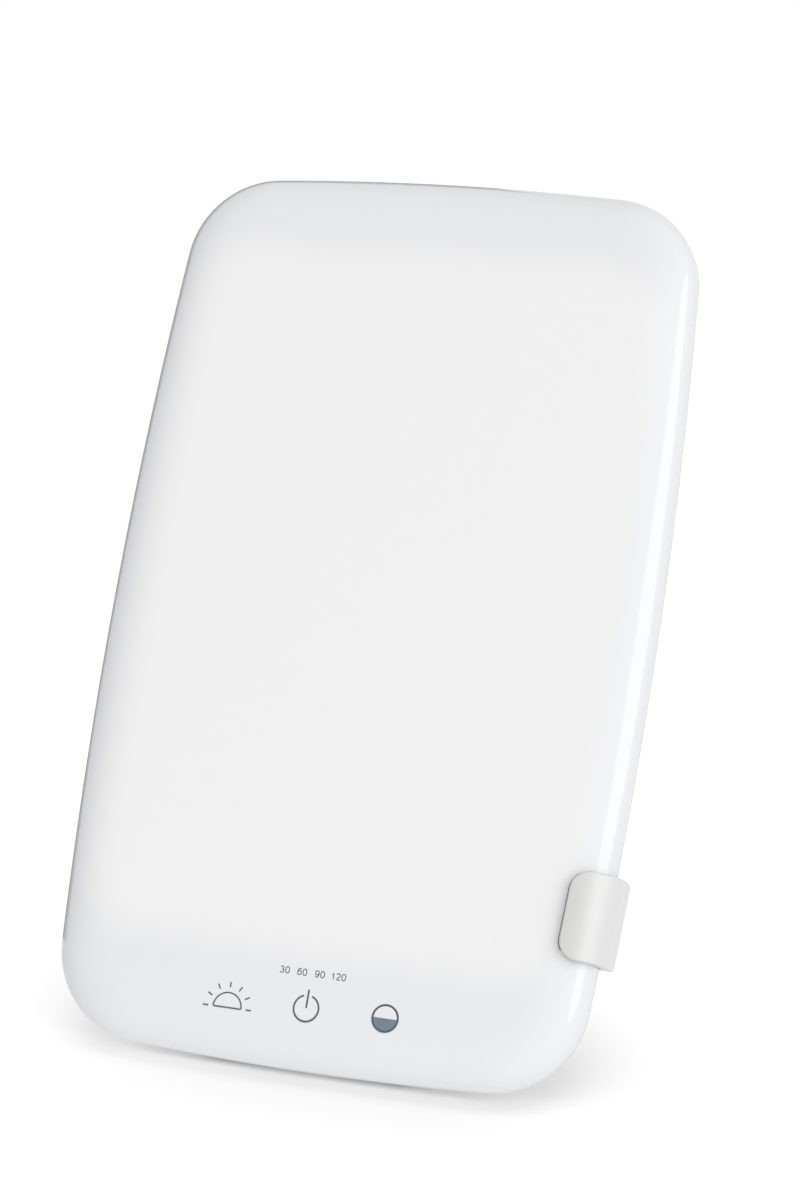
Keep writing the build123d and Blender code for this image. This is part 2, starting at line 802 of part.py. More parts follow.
with BuildPart() as hinge_pin:
    with BuildSketch(Plane(origin=place(-ear_outer_x, hinge_y, hinge_depth), z_dir=(1, 0, 0))):
        Circle(hinge_pin_radius)
    extrude(amount=2 * ear_outer_x + 2 * pin_head_thickness)
    with BuildSketch(Plane(origin=place(-ear_outer_x, hinge_y, hinge_depth), z_dir=(-1, 0, 0))):
        Circle(pin_head_radius)
    extrude(amount=pin_head_thickness)
    fillet(hinge_pin.faces().sort_by(Axis.X)[0].edges(), pin_head_thickness / 2)

with BuildPart() as pin_retainer:
    with BuildSketch(Plane(origin=place(ear_outer_x, hinge_y, hinge_depth), z_dir=(1, 0, 0))):
        Circle(pin_head_radius)
        Circle(hinge_pin_radius + hinge_fit, mode=Mode.SUBTRACT)
    extrude(amount=pin_head_thickness)

with BuildPart() as hinge_washers:
    for side in (-1, 1):
        with BuildSketch(Plane(origin=place(side * (ear_inner_x - washer_gap), hinge_y, hinge_depth),
                               z_dir=(-side, 0, 0))):
            Circle(washer_radius)
            Circle(hinge_pin_radius + hinge_fit, mode=Mode.SUBTRACT)
        extrude(amount=washer_thickness)

# ================= leg =================

leg_down = Vector(0, sin(radians(leg_swing)), -cos(radians(leg_swing)))
leg_plane = Plane(origin=hinge, x_dir=(1, 0, 0), z_dir=(0, leg_down.Z, -leg_down.Y))
leg_tip = leg_length - leg_tip_gap
with BuildPart() as support_leg:
    with BuildSketch(leg_plane.offset(-leg_thickness / 2)):
        with Locations((0, -leg_tip / 2)):
            Rectangle(leg_width, leg_tip)
    extrude(amount=leg_thickness)
    with BuildSketch(Plane(origin=place(-leg_width / 2, hinge_y, hinge_depth), z_dir=(1, 0, 0))):
        Circle(barrel_radius)
    extrude(amount=leg_width)
    # heel that stops the leg against the back plate
    with BuildSketch(layer(hinge_depth)):
        with Locations((0, hinge_y + heel_length / 2)):
            Rectangle(heel_width, heel_length)
    extrude(amount=hinge_depth - plate_back - heel_gap)
    with BuildSketch(Plane(origin=place(-leg_width / 2, hinge_y, hinge_depth), z_dir=(1, 0, 0))):
        Circle(hinge_pin_radius + hinge_fit)
    extrude(amount=leg_width, mode=Mode.SUBTRACT)
    pocket_top = barrel_radius + leg_pocket_margin
    pocket_bottom = leg_length - foot_grip - leg_pocket_margin
    with BuildSketch(leg_plane.offset(-leg_thickness / 2)):
        with Locations((0, -(pocket_top + pocket_bottom) / 2)):
            RectangleRounded(leg_width - 2 * leg_pocket_margin, pocket_bottom - pocket_top, leg_pocket_corner)
    extrude(amount=leg_pocket_depth, mode=Mode.SUBTRACT)

foot_end = hinge + leg_down * leg_length
with BuildPart() as leg_foot:
    with BuildSketch(Plane(origin=foot_end - Vector(leg_width / 2 + foot_side, 0, 0),
                           x_dir=leg_plane.y_dir, z_dir=(1, 0, 0))):
        Circle(foot_radius)
        with Locations((foot_grip / 2, 0)):
            Rectangle(foot_grip, 2 * foot_radius)
    extrude(amount=leg_width + 2 * foot_side)
    add(support_leg.part, mode=Mode.SUBTRACT)

pieces = {
    "front_cover": front_cover.part,
    "rear_cover": rear_cover.part,
    "cover_screws": cover_screws.part,
    "diffuser_plate": diffuser_plate.part,
    "prism_film": prism_film.part,
    "diffuser_film": diffuser_film.part,
    "light_guide": light_guide.part,
    "reflector_film": reflector_film.part,
    "mid_frame": mid_frame.part,
    "back_pan": back_pan.part,
    "led_board_left": led_board_left.part,
    "led_board_right": led_board_right.part,
    "leds_left": leds_left.part,
    "leds_right": leds_right.part,
    "touch_board": touch_board.part,
    "touch_electrodes": touch_electrodes.part,
    "touch_chip": touch_chip.part,
    "indicator_shield": indicator_shield.part,
    "indicator_leds": indicator_leds.part,
    "touch_cable": touch_cable.part,
    "driver_board": driver_board.part,
    "driver_screws": driver_screws.part,
    "driver_inductor": driver_inductor.part,
    "driver_capacitors": driver_capacitors.part,
    "driver_chips": driver_chips.part,
    "board_connectors": board_connectors.part,
    "dc_jack": dc_jack.part,
    "dc_jack_pin": dc_jack_pin.part,
    "jack_lead_live": jack_leads[0],
    "jack_lead_return": jack_leads[1],
    "led_lead_left": led_lead_left,
    "led_lead_right": led_lead_right,
    "base_feet": base_feet.part,
    "stand_bracket": stand_bracket.part,
    "clip_pad": clip_pad.part,
    "hinge_pin": hinge_pin.part,
    "pin_retainer": pin_retainer.part,
    "hinge_washers": hinge_washers.part,
    "support_leg": support_leg.part,
    "leg_foot": leg_foot.part,
}
os.makedirs("parts", exist_ok=True)
for name, piece in pieces.items():
    piece.label = name
    export_step(piece, f"parts/{name}.step")

inlet = place(jack_x, jack_y, lamp_thickness)
print("hinge", [round(value, 3) for value in hinge], "fold", round(leg_fold, 2))
print("inlet", [round(value, 3) for value in inlet], "feet", round(belly.X, 3), round(base_foot_y, 3))
print("lean", lean, "panel", [round(value, 3) for value in panel.origin])
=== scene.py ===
import json
from math import asin, atan2, degrees, pi, radians

import bmesh
import bpy
import numpy as np
from mathutils import Euler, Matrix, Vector


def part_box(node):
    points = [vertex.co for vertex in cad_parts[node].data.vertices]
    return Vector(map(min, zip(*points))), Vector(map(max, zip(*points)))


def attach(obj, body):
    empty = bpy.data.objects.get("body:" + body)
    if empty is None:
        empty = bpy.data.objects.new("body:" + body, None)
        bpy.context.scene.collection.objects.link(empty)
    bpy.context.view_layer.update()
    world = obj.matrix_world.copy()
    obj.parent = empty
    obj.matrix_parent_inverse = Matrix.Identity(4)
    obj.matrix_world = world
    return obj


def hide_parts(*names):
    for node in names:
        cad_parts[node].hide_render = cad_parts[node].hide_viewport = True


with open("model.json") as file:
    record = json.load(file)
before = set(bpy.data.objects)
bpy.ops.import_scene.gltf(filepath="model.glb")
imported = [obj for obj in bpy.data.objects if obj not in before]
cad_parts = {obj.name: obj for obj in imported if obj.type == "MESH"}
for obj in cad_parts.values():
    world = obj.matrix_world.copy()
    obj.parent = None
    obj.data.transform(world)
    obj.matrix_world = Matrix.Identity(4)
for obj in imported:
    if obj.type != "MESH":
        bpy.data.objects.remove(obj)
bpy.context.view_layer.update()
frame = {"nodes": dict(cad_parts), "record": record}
nodes = frame["nodes"]
record = frame["record"]
mm = 0.001
weld = 0.001 * mm  # points closer than this are one
creaseAngle = 40  # edges of new pieces that turn by more degrees stay sharp
print("stage 1: frame loaded with", len(nodes), "nodes")

# sizes of the lamp's own body, in mm; its directions are x to the right, y up the lamp, depth inwards
lamp = {
    "width": 200, "height": 321, "cornerRadius": 33, "sideBow": 4.2, "endBow": 1.8,
    "plateLift": 13,  # the diffuser plate's middle above the lamp's middle
    "plateDepth": 2.5,  # and how deep it lies
    "ledPitch": 10.0, "timerPitch": 6.4, "timerX": 1.05,
    "driverDepth": 10.4,  # the face of the driver board that its parts stand on
}
# the lamp's own directions and its middle: the inlet's axis runs square to the lamp, out of its back
inletRow = next(row for row in record["mounts"] if row["name"] == "dc_inlet")
inward = np.array(inletRow["axis"], float)
rightward = np.array((1.0, 0.0, 0.0))
upward = np.cross(rightward, inward)
lean = atan2(-inward[2], inward[1])
plateMiddle = np.array(sum(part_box("diffuser_plate"), Vector()) / 2)
lampMiddle = plateMiddle - upward * lamp["plateLift"] * mm - inward * lamp["plateDepth"] * mm
bottomEnd = -lamp["height"] / 2


# points in metres: the lamp's middle plus x to the right, y up the lamp and depth inwards, in mm
def onLamp(x, y, depth):
    x, y, depth = np.broadcast_arrays(np.asarray(x, float), y, depth)
    steps = x[..., None] * rightward + y[..., None] * upward + depth[..., None] * inward
    return lampMiddle + mm * steps.reshape(-1, 3)


# quads between rings of equal point counts: point i of a ring joins point i + 1 and the next ring
def ringFaces(rings, around, closed=False):
    ring = np.arange(rings if closed else rings - 1)[:, None]
    place = np.arange(around)[None, :]
    beside = (place + 1) % around
    first, second = ring * around, (ring + 1) % rings * around
    corners = (first + place, first + beside, second + beside, second + place)
    return np.stack(corners, axis=-1).reshape(-1, 4).tolist()


# several shapes as one: the points follow one another and the faces count on
def joined(shapes):
    points, faces, count = [], [], 0
    for shapePoints, shapeFaces in shapes:
        points.append(np.asarray(shapePoints))
        faces += [[count + corner for corner in face] for face in shapeFaces]
        count += len(shapePoints)
    return np.concatenate(points), faces


def newObject(name, data):
    thing = bpy.data.objects.new(name, data)
    bpy.context.scene.collection.objects.link(thing)
    return thing


# a mesh object at the origin that rides on a body, its faces turned outwards, smooth up to the crease angle
def newPiece(name, shape, material, body):
    points, faces = shape
    mesh = bpy.data.meshes.new(name)
    mesh.from_pydata(np.asarray(points).tolist(), [], faces)
    form = bmesh.new()
    form.from_mesh(mesh)
    bmesh.ops.remove_doubles(form, verts=form.verts, dist=weld)
    bmesh.ops.recalc_face_normals(form, faces=form.faces)
    form.to_mesh(mesh)
    form.free()
    mesh.polygons.foreach_set("use_smooth", np.ones(len(mesh.polygons), bool))
    mesh.set_sharp_from_angle(angle=radians(creaseAngle))
    mesh.materials.append(material)
    piece = newObject(name, mesh)
    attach(piece, body)
    return piece


# gives a node's input a number, or joins it to a node's first output or to a (node, output) pair
def feed(tree, node, entry, source):
    if isinstance(source, tuple) and hasattr(source[0], "outputs"):
        tree.links.new(source[0].outputs[source[1]], node.inputs[entry])
    elif hasattr(source, "outputs"):
        tree.links.new(source.outputs[0], node.inputs[entry])
    else:
        node.inputs[entry].default_value = source


# adds a shader node; plain entries feed its inputs in order, and of the named values those in lower case
# are its settings and the others its inputs
def addNode(tree, kind, column, row, *entries, **values):
    node = tree.nodes.new("ShaderNode" + kind)
    node.location = (column * 200, -row * 200)
    for key, value in values.items():
        if key[0].islower():
            setattr(node, key, value)
    for entry, source in enumerate(entries):
        feed(tree, node, entry, source)
    for key, value in values.items():
        if not key[0].islower():
            feed(tree, node, key.replace("_", " "), value)
    return node


# a tone as a colour socket takes it
def shade(tone):
    return (*tone, 1.0)


# one colour where the share is 0 and the other where it is 1
def mixTones(tree, column, row, share, first, second):
    node = addNode(tree, "Mix", column, row, data_type="RGBA")
    for entry, source in ((0, share), (6, first), (7, second)):
        feed(tree, node, entry, source)
    return node, 2


# one number where the share is 0 and the other where it is 1
def mixNumbers(tree, column, row, share, first, second):
    node = addNode(tree, "Mix", column, row, data_type="FLOAT")
    for entry, source in ((0, share), (2, first), (3, second)):
        feed(tree, node, entry, source)
    return node


# object coordinates turned into the lamp's own: x to the right, y up the lamp, z out of the front, in metres
def lampPlace(tree, column, row):
    where = addNode(tree, "TexCoord", column, row)
    place = addNode(tree, "Mapping", column + 1, row)
    turn = Euler((lean - pi / 2, 0, 0))
    place.inputs["Rotation"].default_value = turn
    place.inputs["Location"].default_value = -(turn.to_matrix() @ Vector(lampMiddle))
    feed(tree, place, "Vector", (where, "Object"))
    return place


# a shader node group with named inputs and outputs: the tree, its start and its end
def newGroup(name, entries, exits):
    tree = bpy.data.node_groups.new(name, "ShaderNodeTree")
    for label, kind, value in entries:
        socket = tree.interface.new_socket(name=label, in_out="INPUT", socket_type="NodeSocket" + kind)
        socket.default_value = value
    for label, kind in exits:
        tree.interface.new_socket(name=label, in_out="OUTPUT", socket_type="NodeSocket" + kind)
    start = tree.nodes.new("NodeGroupInput")
    end = tree.nodes.new("NodeGroupOutput")
    start.location, end.location = (-800, 0), (1400, 0)
    return tree, start, end


noiseSpan = (0.3, 0.7)  # most of a noise's values lie between these


# a colour that drifts between two tones by a broad noise with a little of a finer one
def toneGroup():
    look = {"finer": 11.0, "fineShare": 0.25, "spreadFrom": 0.35, "spreadTo": 0.65}
    entries = [
        ("Tone", "Color", shade((0.8, 0.8, 0.8))), ("Other Tone", "Color", shade((0.7, 0.7, 0.7))),
        ("Size", "Float", 40),
    ]
    tree, start, end = newGroup("toneDrift", entries, [("Colour", "Color")])
    where = addNode(tree, "TexCoord", -3, 1)
    broad = addNode(tree, "TexNoise", -2, 0, Vector=(where, "Object"), Scale=(start, "Size"), Detail=3.0)
    small = addNode(tree, "Math", -2, 2, (start, "Size"), look["finer"], operation="MULTIPLY")
    fine = addNode(tree, "TexNoise", -1, 2, Vector=(where, "Object"), Scale=small, Detail=5.0)
    both = mixNumbers(tree, 0, 1, look["fineShare"], broad, fine)
    spread = addNode(tree, "MapRange", 1, 1, both, look["spreadFrom"], look["spreadTo"],
                     interpolation_type="SMOOTHSTEP")
    feed(tree, end, "Colour", mixTones(tree, 2, 0, spread, (start, "Tone"), (start, "Other Tone")))
    return tree


# a roughness that varies with broad handling marks and a fine dust of specks
def sheenGroup():
    look = {"dustScale": 700.0, "speck": 0.05, "speckEdge": 0.12, "dustShare": 0.25}
    entries = [("Smooth", "Float", 0.3), ("Rough", "Float", 0.4), ("Size", "Float", 25)]
    tree, start, end = newGroup("sheenDrift", entries, [("Roughness", "Float")])
    where = addNode(tree, "TexCoord", -3, 1)
    marks = addNode(tree, "TexNoise", -2, 0, Vector=(where, "Object"), Scale=(start, "Size"),
                    Detail=5.0, Roughness=0.6, Distortion=0.4)
    specks = addNode(tree, "TexVoronoi", -2, 2, Vector=(where, "Object"), Scale=look["dustScale"])
    dust = addNode(tree, "MapRange", -1, 2, specks, look["speck"], look["speckEdge"], look["dustShare"], 0.0)
    total = addNode(tree, "Math", 0, 1, marks, dust, operation="ADD", use_clamp=True)
    spread = addNode(tree, "MapRange", 1, 1, total, *noiseSpan, (start, "Smooth"), (start, "Rough"))
    feed(tree, end, "Roughness", spread)
    return tree


# the height of a spark-eroded mould: fine pits from a cell pattern, softened by a noise
def grainGroup():
    pitShare = 0.6
    tree, start, end = newGroup("mouldGrain", [("Grain", "Float", 1800)], [("Height", "Float")])
    where = addNode(tree, "TexCoord", -3, 1)
    pits = addNode(tree, "TexVoronoi", -2, 0, Vector=(where, "Object"), Scale=(start, "Grain"),
                   feature="SMOOTH_F1", Smoothness=1.0)
    clouds = addNode(tree, "TexNoise", -2, 2, Vector=(where, "Object"), Scale=(start, "Grain"), Detail=3.0)
    feed(tree, end, "Height", addNode(tree, "Math", 0, 1, pits, pitShare, clouds, operation="MULTIPLY_ADD"))
    return tree


# marks of rolling or turning: a noise drawn out along the axes that the stretch makes small
def rollGroup():
    tree, start, end = newGroup("rollMarks", [("Stretch", "Vector", (2500, 60, 2500))], [("Mark", "Float")])
    place = lampPlace(tree, -4, 1)
    drawn = addNode(tree, "Mapping", -2, 1, Vector=place, Scale=(start, "Stretch"))
    marks = addNode(tree, "TexNoise", 0, 1, Vector=drawn, Scale=1.0, Detail=6.0, Roughness=0.65)
    feed(tree, end, "Mark", marks)
    return tree


# a circuit board's drawing: square cells choose whether parallel tracks run up or across, with round pads
# between them
def trackGroup():
    look = {"turned": 0.5, "bare": 0.35, "lineFrom": 0.6, "lineTo": 0.7, "pad": 0.13, "padEdge": 0.16}
    entries = [("Cells", "Float", 130), ("Lines", "Float", 210)]
    tree, start, end = newGroup("boardTracks", entries, [("Track", "Float"), ("Pad", "Float")])
    place = lampPlace(tree, -5, 1)
    cells = addNode(tree, "TexVoronoi", -3, 0, Vector=place, Scale=(start, "Cells"), distance="CHEBYCHEV")
    choice = addNode(tree, "SeparateColor", -2, 0, (cells, "Color"))
    turned = addNode(tree, "Math", -1, 0, choice, look["turned"], operation="GREATER_THAN")
    bands = []
    for row, axis in enumerate(("X", "Y"), 1):
        band = addNode(tree, "TexWave", -3, row, Vector=place, Scale=(start, "Lines"), bands_direction=axis)
        bands.append((band, "Fac"))
    lines = mixNumbers(tree, 0, 1, turned, *bands)
    used = addNode(tree, "Math", 0, 2, (choice, "Green"), look["bare"], operation="GREATER_THAN")
    edge = addNode(tree, "MapRange", 1, 1, lines, look["lineFrom"], look["lineTo"])
    feed(tree, end, "Track", addNode(tree, "Math", 2, 1, edge, used, operation="MULTIPLY"))
    spots = addNode(tree, "TexVoronoi", -3, 4, Vector=place, Scale=(start, "Cells"), Randomness=0.75)
    feed(tree, end, "Pad", addNode(tree, "MapRange", 1, 4, spots, look["pad"], look["padEdge"], 1.0, 0.0))
    return tree


groups = {
    "tone": toneGroup(), "sheen": sheenGroup(), "grain": grainGroup(), "roll": rollGroup(),
    "track": trackGroup(),
}


# one of the shared effects, placed in a material with its own values
def useGroup(tree, key, column, row, **values):
    return addNode(tree, "Group", column, row, node_tree=groups[key], **values)


# a new material: its node tree and its shader, with the shader's own constant values set
def newSkin(name, sockets):
    material = bpy.data.materials.new(name)
    material.use_nodes = True
    skin = material.node_tree.nodes["Principled BSDF"]
    for socket, value in sockets.items():
        skin.inputs[socket].default_value = value
    return material, material.node_tree, skin


# a look's tones, as a colour that drifts between them
def drift(tree, look):
    return useGroup(tree, "tone", -3, 0, Tone=shade(look["tone"]), Other_Tone=shade(look["otherTone"]),
                    Size=look["driftSize"])


# a look's gloss, as a roughness that varies over the surface
def sheen(tree, look):
    return useGroup(tree, "sheen", -3, 1, Smooth=look["smooth"], Rough=look["rough"], Size=look["sheenSize"])


# a height as fine relief, in a look's own strength and depth
def bumped(tree, skin, height, look):
    bump = addNode(tree, "Bump", -1, 3, Strength=look["bump"], Distance=look["depth"], Height=height)
    feed(tree, skin, "Normal", bump)


# a look's relief, as the grain of a mould
def grained(tree, skin, look):
    bumped(tree, skin, useGroup(tree, "grain", -3, 3, Grain=look["grain"]), look)


# marks of rolling or turning in a metal's roughness and height
def marked(tree, skin, look):
    marks = useGroup(tree, "roll", -4, 2, Stretch=look["stretch"])
    rough = addNode(tree, "MapRange", -1, 1, marks, *noiseSpan, look["smooth"], look["rough"])
    feed(tree, skin, "Roughness", rough)
    bumped(tree, skin, marks, look)


# a moulded plastic, rubber or foam: drifting tone and sheen over a mould grain or foam cells. A look with an
# outer tone turns into it from one distance right of the lamp's middle to another: painted light, a lighter
# tone where the stand's side faces the light on the right
def moulded(name, look):
    material, tree, skin = newSkin(name, look.get("sockets", {}))
    colour = drift(tree, look)
    # painted light: the colour turns lighter towards the lamp's right edge, where the clip's side faces the
    # light
    if "paintedLightTone" in look:
        across = addNode(tree, "SeparateXYZ", -5, -1, lampPlace(tree, -7, -1))
        paintedLight = addNode(tree, "MapRange", -3, -1, across, look["paintedLightFrom"] * mm, look["paintedLightTo"] * mm)
        colour = mixTones(tree, -1, 0, paintedLight, colour, shade(look["paintedLightTone"]))
    feed(tree, skin, "Base Color", colour)
    feed(tree, skin, "Roughness", sheen(tree, look))
    grained(tree, skin, look)
    return material


# a worked metal: drifting tone under its marks
def worked(name, look):
    material, tree, skin = newSkin(name, {"Metallic": 1.0})
    feed(tree, skin, "Base Color", drift(tree, look))
    marked(tree, skin, look)
    return material


# a circuit board: solder mask that is lighter over the tracks, with tinned pads
def circuit(name, look):
    material, tree, skin = newSkin(name, {"IOR": 1.55})
    drawing = useGroup(tree, "track", -3, 3, Cells=look["cells"], Lines=look["lines"])
    mask = mixTones(tree, -2, 0, (drawing, "Track"), drift(tree, look), shade(look["trackTone"]))
    feed(tree, skin, "Base Color", mixTones(tree, -1, 0, (drawing, "Pad"), mask, shade(look["padTone"])))
    feed(tree, skin, "Roughness", sheen(tree, look))
    feed(tree, skin, "Metallic", (drawing, "Pad"))
    bumped(tree, skin, (drawing, "Track"), look)
    return material


# a clear sheet: frosted by a grid of printed dots that grow away from the light bars, or finely grooved
def clearSheet(name, look):
    material, tree, skin = newSkin(name, {"Transmission Weight": look["clear"], "IOR": look["bend"]})
    dotSoft = 0.02  # how soft the dots' edge is
    place = lampPlace(tree, -7, 2)
    dots = addNode(tree, "TexVoronoi", -5, 1, Vector=place, Scale=look["dotScale"], Randomness=0.0)
    across = addNode(tree, "Math", -5, 2, addNode(tree, "SeparateXYZ", -6, 2, place), operation="ABSOLUTE")
    size = addNode(tree, "MapRange", -4, 2, across, 0.0, look["barX"], look["largeDot"], look["smallDot"])
    inside = addNode(tree, "Math", -3, 2, size, dots, operation="SUBTRACT")
    dot = addNode(tree, "MapRange", -2, 2, inside, -dotSoft, dotSoft)
    feed(tree, skin, "Base Color", mixTones(tree, -1, 0, dot, drift(tree, look), shade(look["dotTone"])))
    rough = addNode(tree, "Math", -1, 1, dot, look["frost"], sheen(tree, look), operation="MULTIPLY_ADD")
    feed(tree, skin, "Roughness", rough)
    grooves = addNode(tree, "TexWave", -3, 4, Vector=place, Scale=look["grooves"], wave_profile="TRI",
                      bands_direction="Y")
    bumped(tree, skin, (grooves, "Fac"), look)
    return material


# glossy opal: neutral over the lit area, a rounded rectangle, and a trace cooler and darker round it
def opal(name, look):
    material, tree, skin = newSkin(name, {"IOR": 1.49})
    parts = addNode(tree, "SeparateXYZ", -8, 1, lampPlace(tree, -10, 1))
    lifted = addNode(tree, "Math", -7, 2, (parts, "Y"), look["litMiddle"] * mm, operation="SUBTRACT")
    corner = addNode(tree, "CombineXYZ", -4, 1)
    for row, (source, half) in enumerate((((parts, "X"), look["litHalfX"]), (lifted, look["litHalfY"]))):
        size = addNode(tree, "Math", -6, row, source, operation="ABSOLUTE")
        past = addNode(tree, "Math", -5, row, size, (half - look["round"]) * mm, operation="SUBTRACT")
        feed(tree, corner, row, addNode(tree, "Math", -4.5, row, past, 0.0, operation="MAXIMUM"))
    reach = addNode(tree, "VectorMath", -3, 1, corner, operation="LENGTH")
    fade = addNode(tree, "MapRange", -2, 1, (reach, "Value"), (look["round"] - look["soft"] / 2) * mm,
                   (look["round"] + look["soft"]) * mm, interpolation_type="SMOOTHSTEP")
    colour = mixTones(tree, -1, 0, fade, shade(look["tone"]), shade(look["otherTone"]))
    feed(tree, skin, "Base Color", colour)
    feed(tree, skin, "Roughness", sheen(tree, look))
    return material


# an LED: a white housing with a yellow phosphor window on the face that shines, repeated from the first LED
# on at the LEDs' own pitch
def ledBody(name, look):
    material, tree, skin = newSkin(name, {"IOR": 1.5})
    windowEdge = 1.06  # where the window's soft edge ends, against its half width
    square = 0.7  # how squarely a face has to shine that way
    first, pitch, half = look["first"], look["pitch"], look["half"]
    parts = addNode(tree, "SeparateXYZ", -6, 1, lampPlace(tree, -8, 1))
    stepped = addNode(tree, "Math", -5, 1, (parts, look["along"]), (first + pitch) * mm, first * mm,
                      operation="WRAP")
    off = addNode(tree, "Math", -4, 1, stepped, (first + pitch / 2) * mm, operation="SUBTRACT")
    size = addNode(tree, "Math", -3.5, 1, off, operation="ABSOLUTE")
    window = addNode(tree, "MapRange", -3, 1, size, half * mm, half * mm * windowEdge, 1.0, 0.0)
    normal = addNode(tree, "NewGeometry", -6, 4)
    facing = addNode(tree, "VectorMath", -5, 4, (normal, "Normal"), tuple(look["shines"]),
                     operation="DOT_PRODUCT")
    flat = addNode(tree, "Math", -4, 4, (facing, "Value"), operation="ABSOLUTE")
    front = addNode(tree, "Math", -3, 4, flat, square, operation="GREATER_THAN")
    phosphor = addNode(tree, "Math", -2, 2, window, front, operation="MULTIPLY")
    colour = mixTones(tree, -1, 0, phosphor, shade(look["housing"]), drift(tree, look))
    feed(tree, skin, "Base Color", colour)
    feed(tree, skin, "Roughness", sheen(tree, look))
    grained(tree, skin, look)
    return material


# a flat cable: grey conductors that show through white insulation
def flatCable(name, look):
    material, tree, skin = newSkin(name, {"Coat Weight": 0.2})
    place = lampPlace(tree, -5, 3)
    wires = addNode(tree, "TexWave", -3, 3, Vector=place, Scale=look["wires"], bands_direction="X")
    band = addNode(tree, "MapRange", -2, 3, (wires, "Fac"), look["wireFrom"], look["wireTo"])
    feed(tree, skin, "Base Color", mixTones(tree, -1, 0, band, drift(tree, look), shade(look["wireTone"])))
    feed(tree, skin, "Roughness", sheen(tree, look))
    bumped(tree, skin, band, look)
    return material


# a capacitor: a brushed aluminium can on a black base plate
def canBody(name, look):
    material, tree, skin = newSkin(name, {})
    depth = addNode(tree, "SeparateXYZ", -6, 1, lampPlace(tree, -8, 1))
    baseTop = -(lamp["driverDepth"] - look["baseHeight"]) * mm
    can = addNode(tree, "Math", -4, 1, (depth, "Z"), baseTop, operation="GREATER_THAN")
    feed(tree, skin, "Base Color", mixTones(tree, -1, 0, can, shade(look["baseTone"]), drift(tree, look)))
    feed(tree, skin, "Metallic", can)
    marked(tree, skin, look)
    return material


# the parts of a look: two tones, two roughnesses and a grain's relief, each with its pattern's size
def tones(tone, otherTone, driftSize=30):
    return {"tone": tone, "otherTone": otherTone, "driftSize": driftSize}


def gloss(smooth, rough, sheenSize=40):
    return {"smooth": smooth, "rough": rough, "sheenSize": sheenSize}


def relief(grain, bump, depth):
    return {"grain": grain, "bump": bump, "depth": depth * mm}


lead = {**gloss(0.28, 0.4, 120), **relief(3000, 0.3, 0.01)}
tracks = {"cells": 130, "lines": 210, "bump": 0.6, "depth": 0.04 * mm, "padTone": (0.72, 0.70, 0.66)}
noDots = {
    "dotScale": 400.0, "largeDot": -1.0, "smallDot": -1.0, "barX": 0.08, "dotTone": (1.0, 1.0, 1.0),
    "frost": 0.0,
}
ledHousing = (0.86, 0.86, 0.84)

